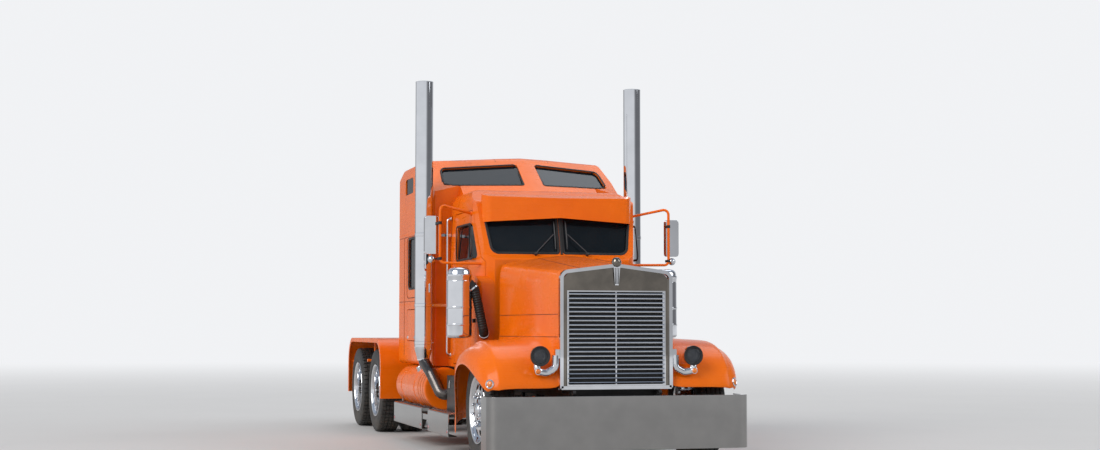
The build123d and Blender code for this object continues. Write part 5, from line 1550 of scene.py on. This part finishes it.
def puffed(made, voxel):
    """Even remesh, then cloth with inner pressure, applied with its travel capped."""
    scene = bpy.context.scene
    even = made.modifiers.new("even", "REMESH")
    even.mode = "VOXEL"
    even.voxel_size = voxel
    graph = bpy.context.evaluated_depsgraph_get()
    smooth = bpy.data.meshes.new_from_object(made.evaluated_get(graph))
    made.modifiers.remove(even)
    made.data = smooth
    start = [vert.co.copy() for vert in smooth.vertices]
    cloth = made.modifiers.new("puff", "CLOTH")
    cloth.settings.quality = 4
    cloth.settings.mass = 0.3
    cloth.settings.tension_stiffness = 15.0
    cloth.settings.compression_stiffness = 15.0
    cloth.settings.shear_stiffness = 5.0
    cloth.settings.bending_stiffness = 0.5
    cloth.settings.use_pressure = True
    cloth.settings.uniform_pressure_force = 4.0
    cloth.settings.effector_weights.gravity = 0.0
    cloth.point_cache.frame_start = 1
    cloth.point_cache.frame_end = PUFF_FRAMES
    for number in range(1, PUFF_FRAMES + 1):
        scene.frame_set(number)
    done = made.evaluated_get(bpy.context.evaluated_depsgraph_get()).to_mesh()
    moved = [vert.co.copy() for vert in done.vertices]
    made.evaluated_get(bpy.context.evaluated_depsgraph_get()).to_mesh_clear()
    made.modifiers.remove(cloth)
    scene.frame_set(1)
    for vert, first, last in zip(smooth.vertices, start, moved):
        step = last - first
        if step.length > PUFF_CAP:
            step = step.normalized() * PUFF_CAP
        vert.co = first + step


class BuildSeats(bpy.types.Operator):
    """Two seats on pedestals and a bunk, with padded cloth cushions"""
    bl_idname = "truck.seats"
    bl_label = "Seats and bunk"

    def execute(self, context):
        bm = bmesh.new()
        for side in (1.0, -1.0):
            x = side * SEAT_X
            box(bm, at(x - 0.17, 1.860, 0.960), at(x + 0.17, 2.150, 1.020))
            box(bm, at(x - 0.13, 1.900, 1.015), at(x + 0.13, 2.120, 1.190))
            box(bm, at(x - 0.20, 1.830, 1.185), at(x + 0.20, 2.200, 1.246))
            for z in (1.045, 1.075, 1.105, 1.135, 1.165):
                box(bm, at(x - 0.138, 1.892, z - 0.008), at(x + 0.138, 2.128, z + 0.008))
            for arm in (-0.232, 0.232):
                tube(bm, [at(x + arm, 2.260, 1.560), at(x + arm, 1.930, 1.575)], 0.026, 12)
        box(bm, at(-1.000, 3.560, 0.960), at(1.000, 4.460, 1.238))
        for x in (-0.66, 0.0, 0.66):
            box(bm, at(x - 0.30, 3.552, 0.990), at(x + 0.30, 3.562, 1.205))
        piece("seat_frames_and_bunk", bm, "dark_plastic", "chassis", replaces=("seats_and_bunk",),
              bevel=0.008, segments=3)
        for side_name, side in SIDES:
            x = side * SEAT_X
            low = at(x - 0.235, 1.785, 1.252)
            high = at(x + 0.235, 2.235, 1.350)
            pad("seat_cushion_" + side_name, low, high, 0.010, 0.012,
                channels=((0, x - 0.13), (0, x + 0.13), (1, 2.09 + AXLE_Y)))
            lean = Matrix.Rotation(math.atan2(0.080, 0.720), 4, "X")
            centre = at(x, 2.270, 1.695)
            upright = Matrix.Rotation(math.radians(90.0), 4, "X")
            place = Matrix.Translation(centre) @ lean.inverted() @ upright
            pad("seat_back_" + side_name, (-0.225, -0.350, -0.048), (0.225, 0.345, 0.048), 0.010, 0.010,
                place=place, channels=((0, -0.12), (0, 0.12), (1, 0.19), (1, -0.15)))
        pad("bunk_mattress", at(-0.975, 3.590, 1.250), at(0.975, 4.435, 1.378), 0.020, 0.012,
            channels=((0, -0.5), (0, 0.0), (0, 0.5), (1, 4.0 + AXLE_Y)))
        return {"FINISHED"}


class BuildCockpit(bpy.types.Operator):
    """Dashboard with gauges and vents, and the grip of the steering wheel"""
    bl_idname = "truck.cockpit"
    bl_label = "Dashboard"

    def execute(self, context):
        softened("dashboard", "dark_plastic", "chassis", 0.006, segments=3)
        face = surface_of("dashboard")
        dials = bmesh.new()
        places = [(0.25 + 0.115 * column, 1.80, 0.042) for column in range(4)]
        places += [(0.20 + 0.09 * column, 1.70, 0.028) for column in range(3)]
        places += [(-0.12, 1.80, 0.030), (0.0, 1.80, 0.030)]
        for x, z, radius in places:
            hit, normal = face.ray_cast(at(x, 2.2, z), Vector((0, -1, 0)), 1.5)[:2]
            if hit is None:
                continue
            spun(dials, [(radius, -0.004), (radius + 0.005, -0.002), (radius + 0.005, 0.008),
                         (radius, 0.010), (radius - 0.004, 0.006), (radius - 0.004, -0.004)], hit, normal,
                 28)
            spun(dials, [(0.0, 0.004), (radius - 0.003, 0.004), (radius - 0.003, -0.004), (0.0, -0.004)],
                 hit, normal, 24, index=1)
            foot = hit + normal * 0.006
            tube(dials, [foot, foot + Vector((radius * 0.5, 0, radius * 0.45))], 0.0018, 6, index=2)
        for x in (-0.66, -0.30, 0.66):
            hit = face.ray_cast(at(x, 2.2, 1.79), Vector((0, -1, 0)), 1.5)[0]
            if hit is None:
                continue
            for step in range(5):
                spot = hit + Vector((0, 0, 0.014 * (step - 2)))
                box(dials, spot + Vector((-0.055, -0.004, -0.003)), spot + Vector((0.055, 0.006, 0.003)))
        piece("dash_instruments", dials, "polished", "chassis", materials=("dark_plastic", "amber"))
        fins = bmesh.new()
        for number in range(56):
            x = -0.415 + 0.0151 * number
            box(fins, at(x - 0.0012, -0.566, 0.93), at(x + 0.0012, -0.559, 1.67))
        for number in range(10):
            z = 0.96 + 0.075 * number
            box(fins, at(-0.42, -0.568, z - 0.004), at(0.42, -0.561, z + 0.004))
        for x in (-0.425, 0.425):
            box(fins, at(x - 0.012, -0.572, 0.90), at(x + 0.012, -0.555, 1.69))
        piece("radiator_core", fins, "frame_paint", "chassis")
        return {"FINISHED"}


class BuildChassis(bpy.types.Operator):
    """Axles, knuckles, bolts, step treads and other running gear detail"""
    bl_idname = "truck.chassis"
    bl_label = "Chassis detail"

    def execute(self, context):
        softened("drive_axles", "iron", "chassis", 0.004)
        softened("radiator", "frame_paint", "chassis", 0.006)
        softened("engine_block", "iron", "chassis", 0.012, segments=3)
        for side, _ in SIDES:
            softened("knuckle_" + side, "iron", "knuckle_" + side, 0.004)

        bolts = bmesh.new()
        for side in (1.0, -1.0):
            for y in (-0.45, 0.65, 1.30, 1.60, 2.10, 2.90, 3.60, 4.25, 4.75, 5.60, 5.95, 6.90, 7.12, 7.36):
                for z in (0.675, 0.755, 0.835):
                    hex_nut(bolts, at(side * 0.4295, y, z), (side, 0, 0), 0.026, 0.014)
            for y in (5.56, 5.64, 5.96, 6.04):
                hex_nut(bolts, at(side * 0.385, y, 0.9035), UP, 0.030, 0.016)
        piece("frame_bolts", bolts, "frame_paint", "chassis")

        treads = bmesh.new()
        for side in (1.0, -1.0):
            for start, stop in ((0.995, 2.000), (2.350, 3.960)):
                number = int((stop - start) / 0.04)
                for step in range(number):
                    y = start + 0.02 + (stop - start - 0.04) * step / (number - 1)
                    for row in range(3):
                        x = side * (1.092 + 0.032 * row)
                        box(treads, at(x - 0.011, y - 0.004, 0.4165), at(x + 0.011, y + 0.004, 0.4215))
        piece("step_treads", treads, "polished", "chassis")

        lids = bmesh.new()
        for side in (1.0, -1.0):
            side_box(lids, side, (1.018, 1.285, 0.690), (1.024, 1.885, 0.700))
            for y in (1.42, 1.75):
                side_box(lids, side, (1.020, y - 0.02, 0.640), (1.030, y + 0.02, 0.715), index=1)
        piece("battery_lids", lids, "frame_paint", "chassis", materials=("polished",), bevel=0.002)
        return {"FINISHED"}


class TruckPanel(bpy.types.Panel):
    """Sidebar list of the truck's pieces"""
    bl_idname = "VIEW3D_PT_truck"
    bl_label = "Tractor unit"
    bl_space_type = "VIEW_3D"
    bl_region_type = "UI"
    bl_category = "Tractor unit"

    def draw(self, context):
        for name in TruckSizes.__annotations__:
            self.layout.prop(context.scene.truck_sizes, name)
        for operator in OPERATORS:
            self.layout.operator(operator.bl_idname)


OPERATORS = (BuildStage, BuildFinishes, BuildHood, BuildPanels, BuildGrille, BuildLamps, BuildCanisters,
             BuildTanks, BuildMirrors, BuildGaskets, BuildTrim, BuildWheels, BuildChassis, BuildCockpit,
             BuildSeats)
CLASSES = (TruckSizes,) + OPERATORS + (TruckPanel,)


def register():
    for item in CLASSES:
        bpy.utils.register_class(item)
    bpy.types.Scene.truck_sizes = bpy.props.PointerProperty(type=TruckSizes)


def unregister():
    del bpy.types.Scene.truck_sizes
    for item in reversed(CLASSES):
        bpy.utils.unregister_class(item)


def main():
    register()
    for operator in OPERATORS:
        group_name, call = operator.bl_idname.split(".")
        getattr(getattr(bpy.ops, group_name), call)()


if __name__ == "__main__":
    main()
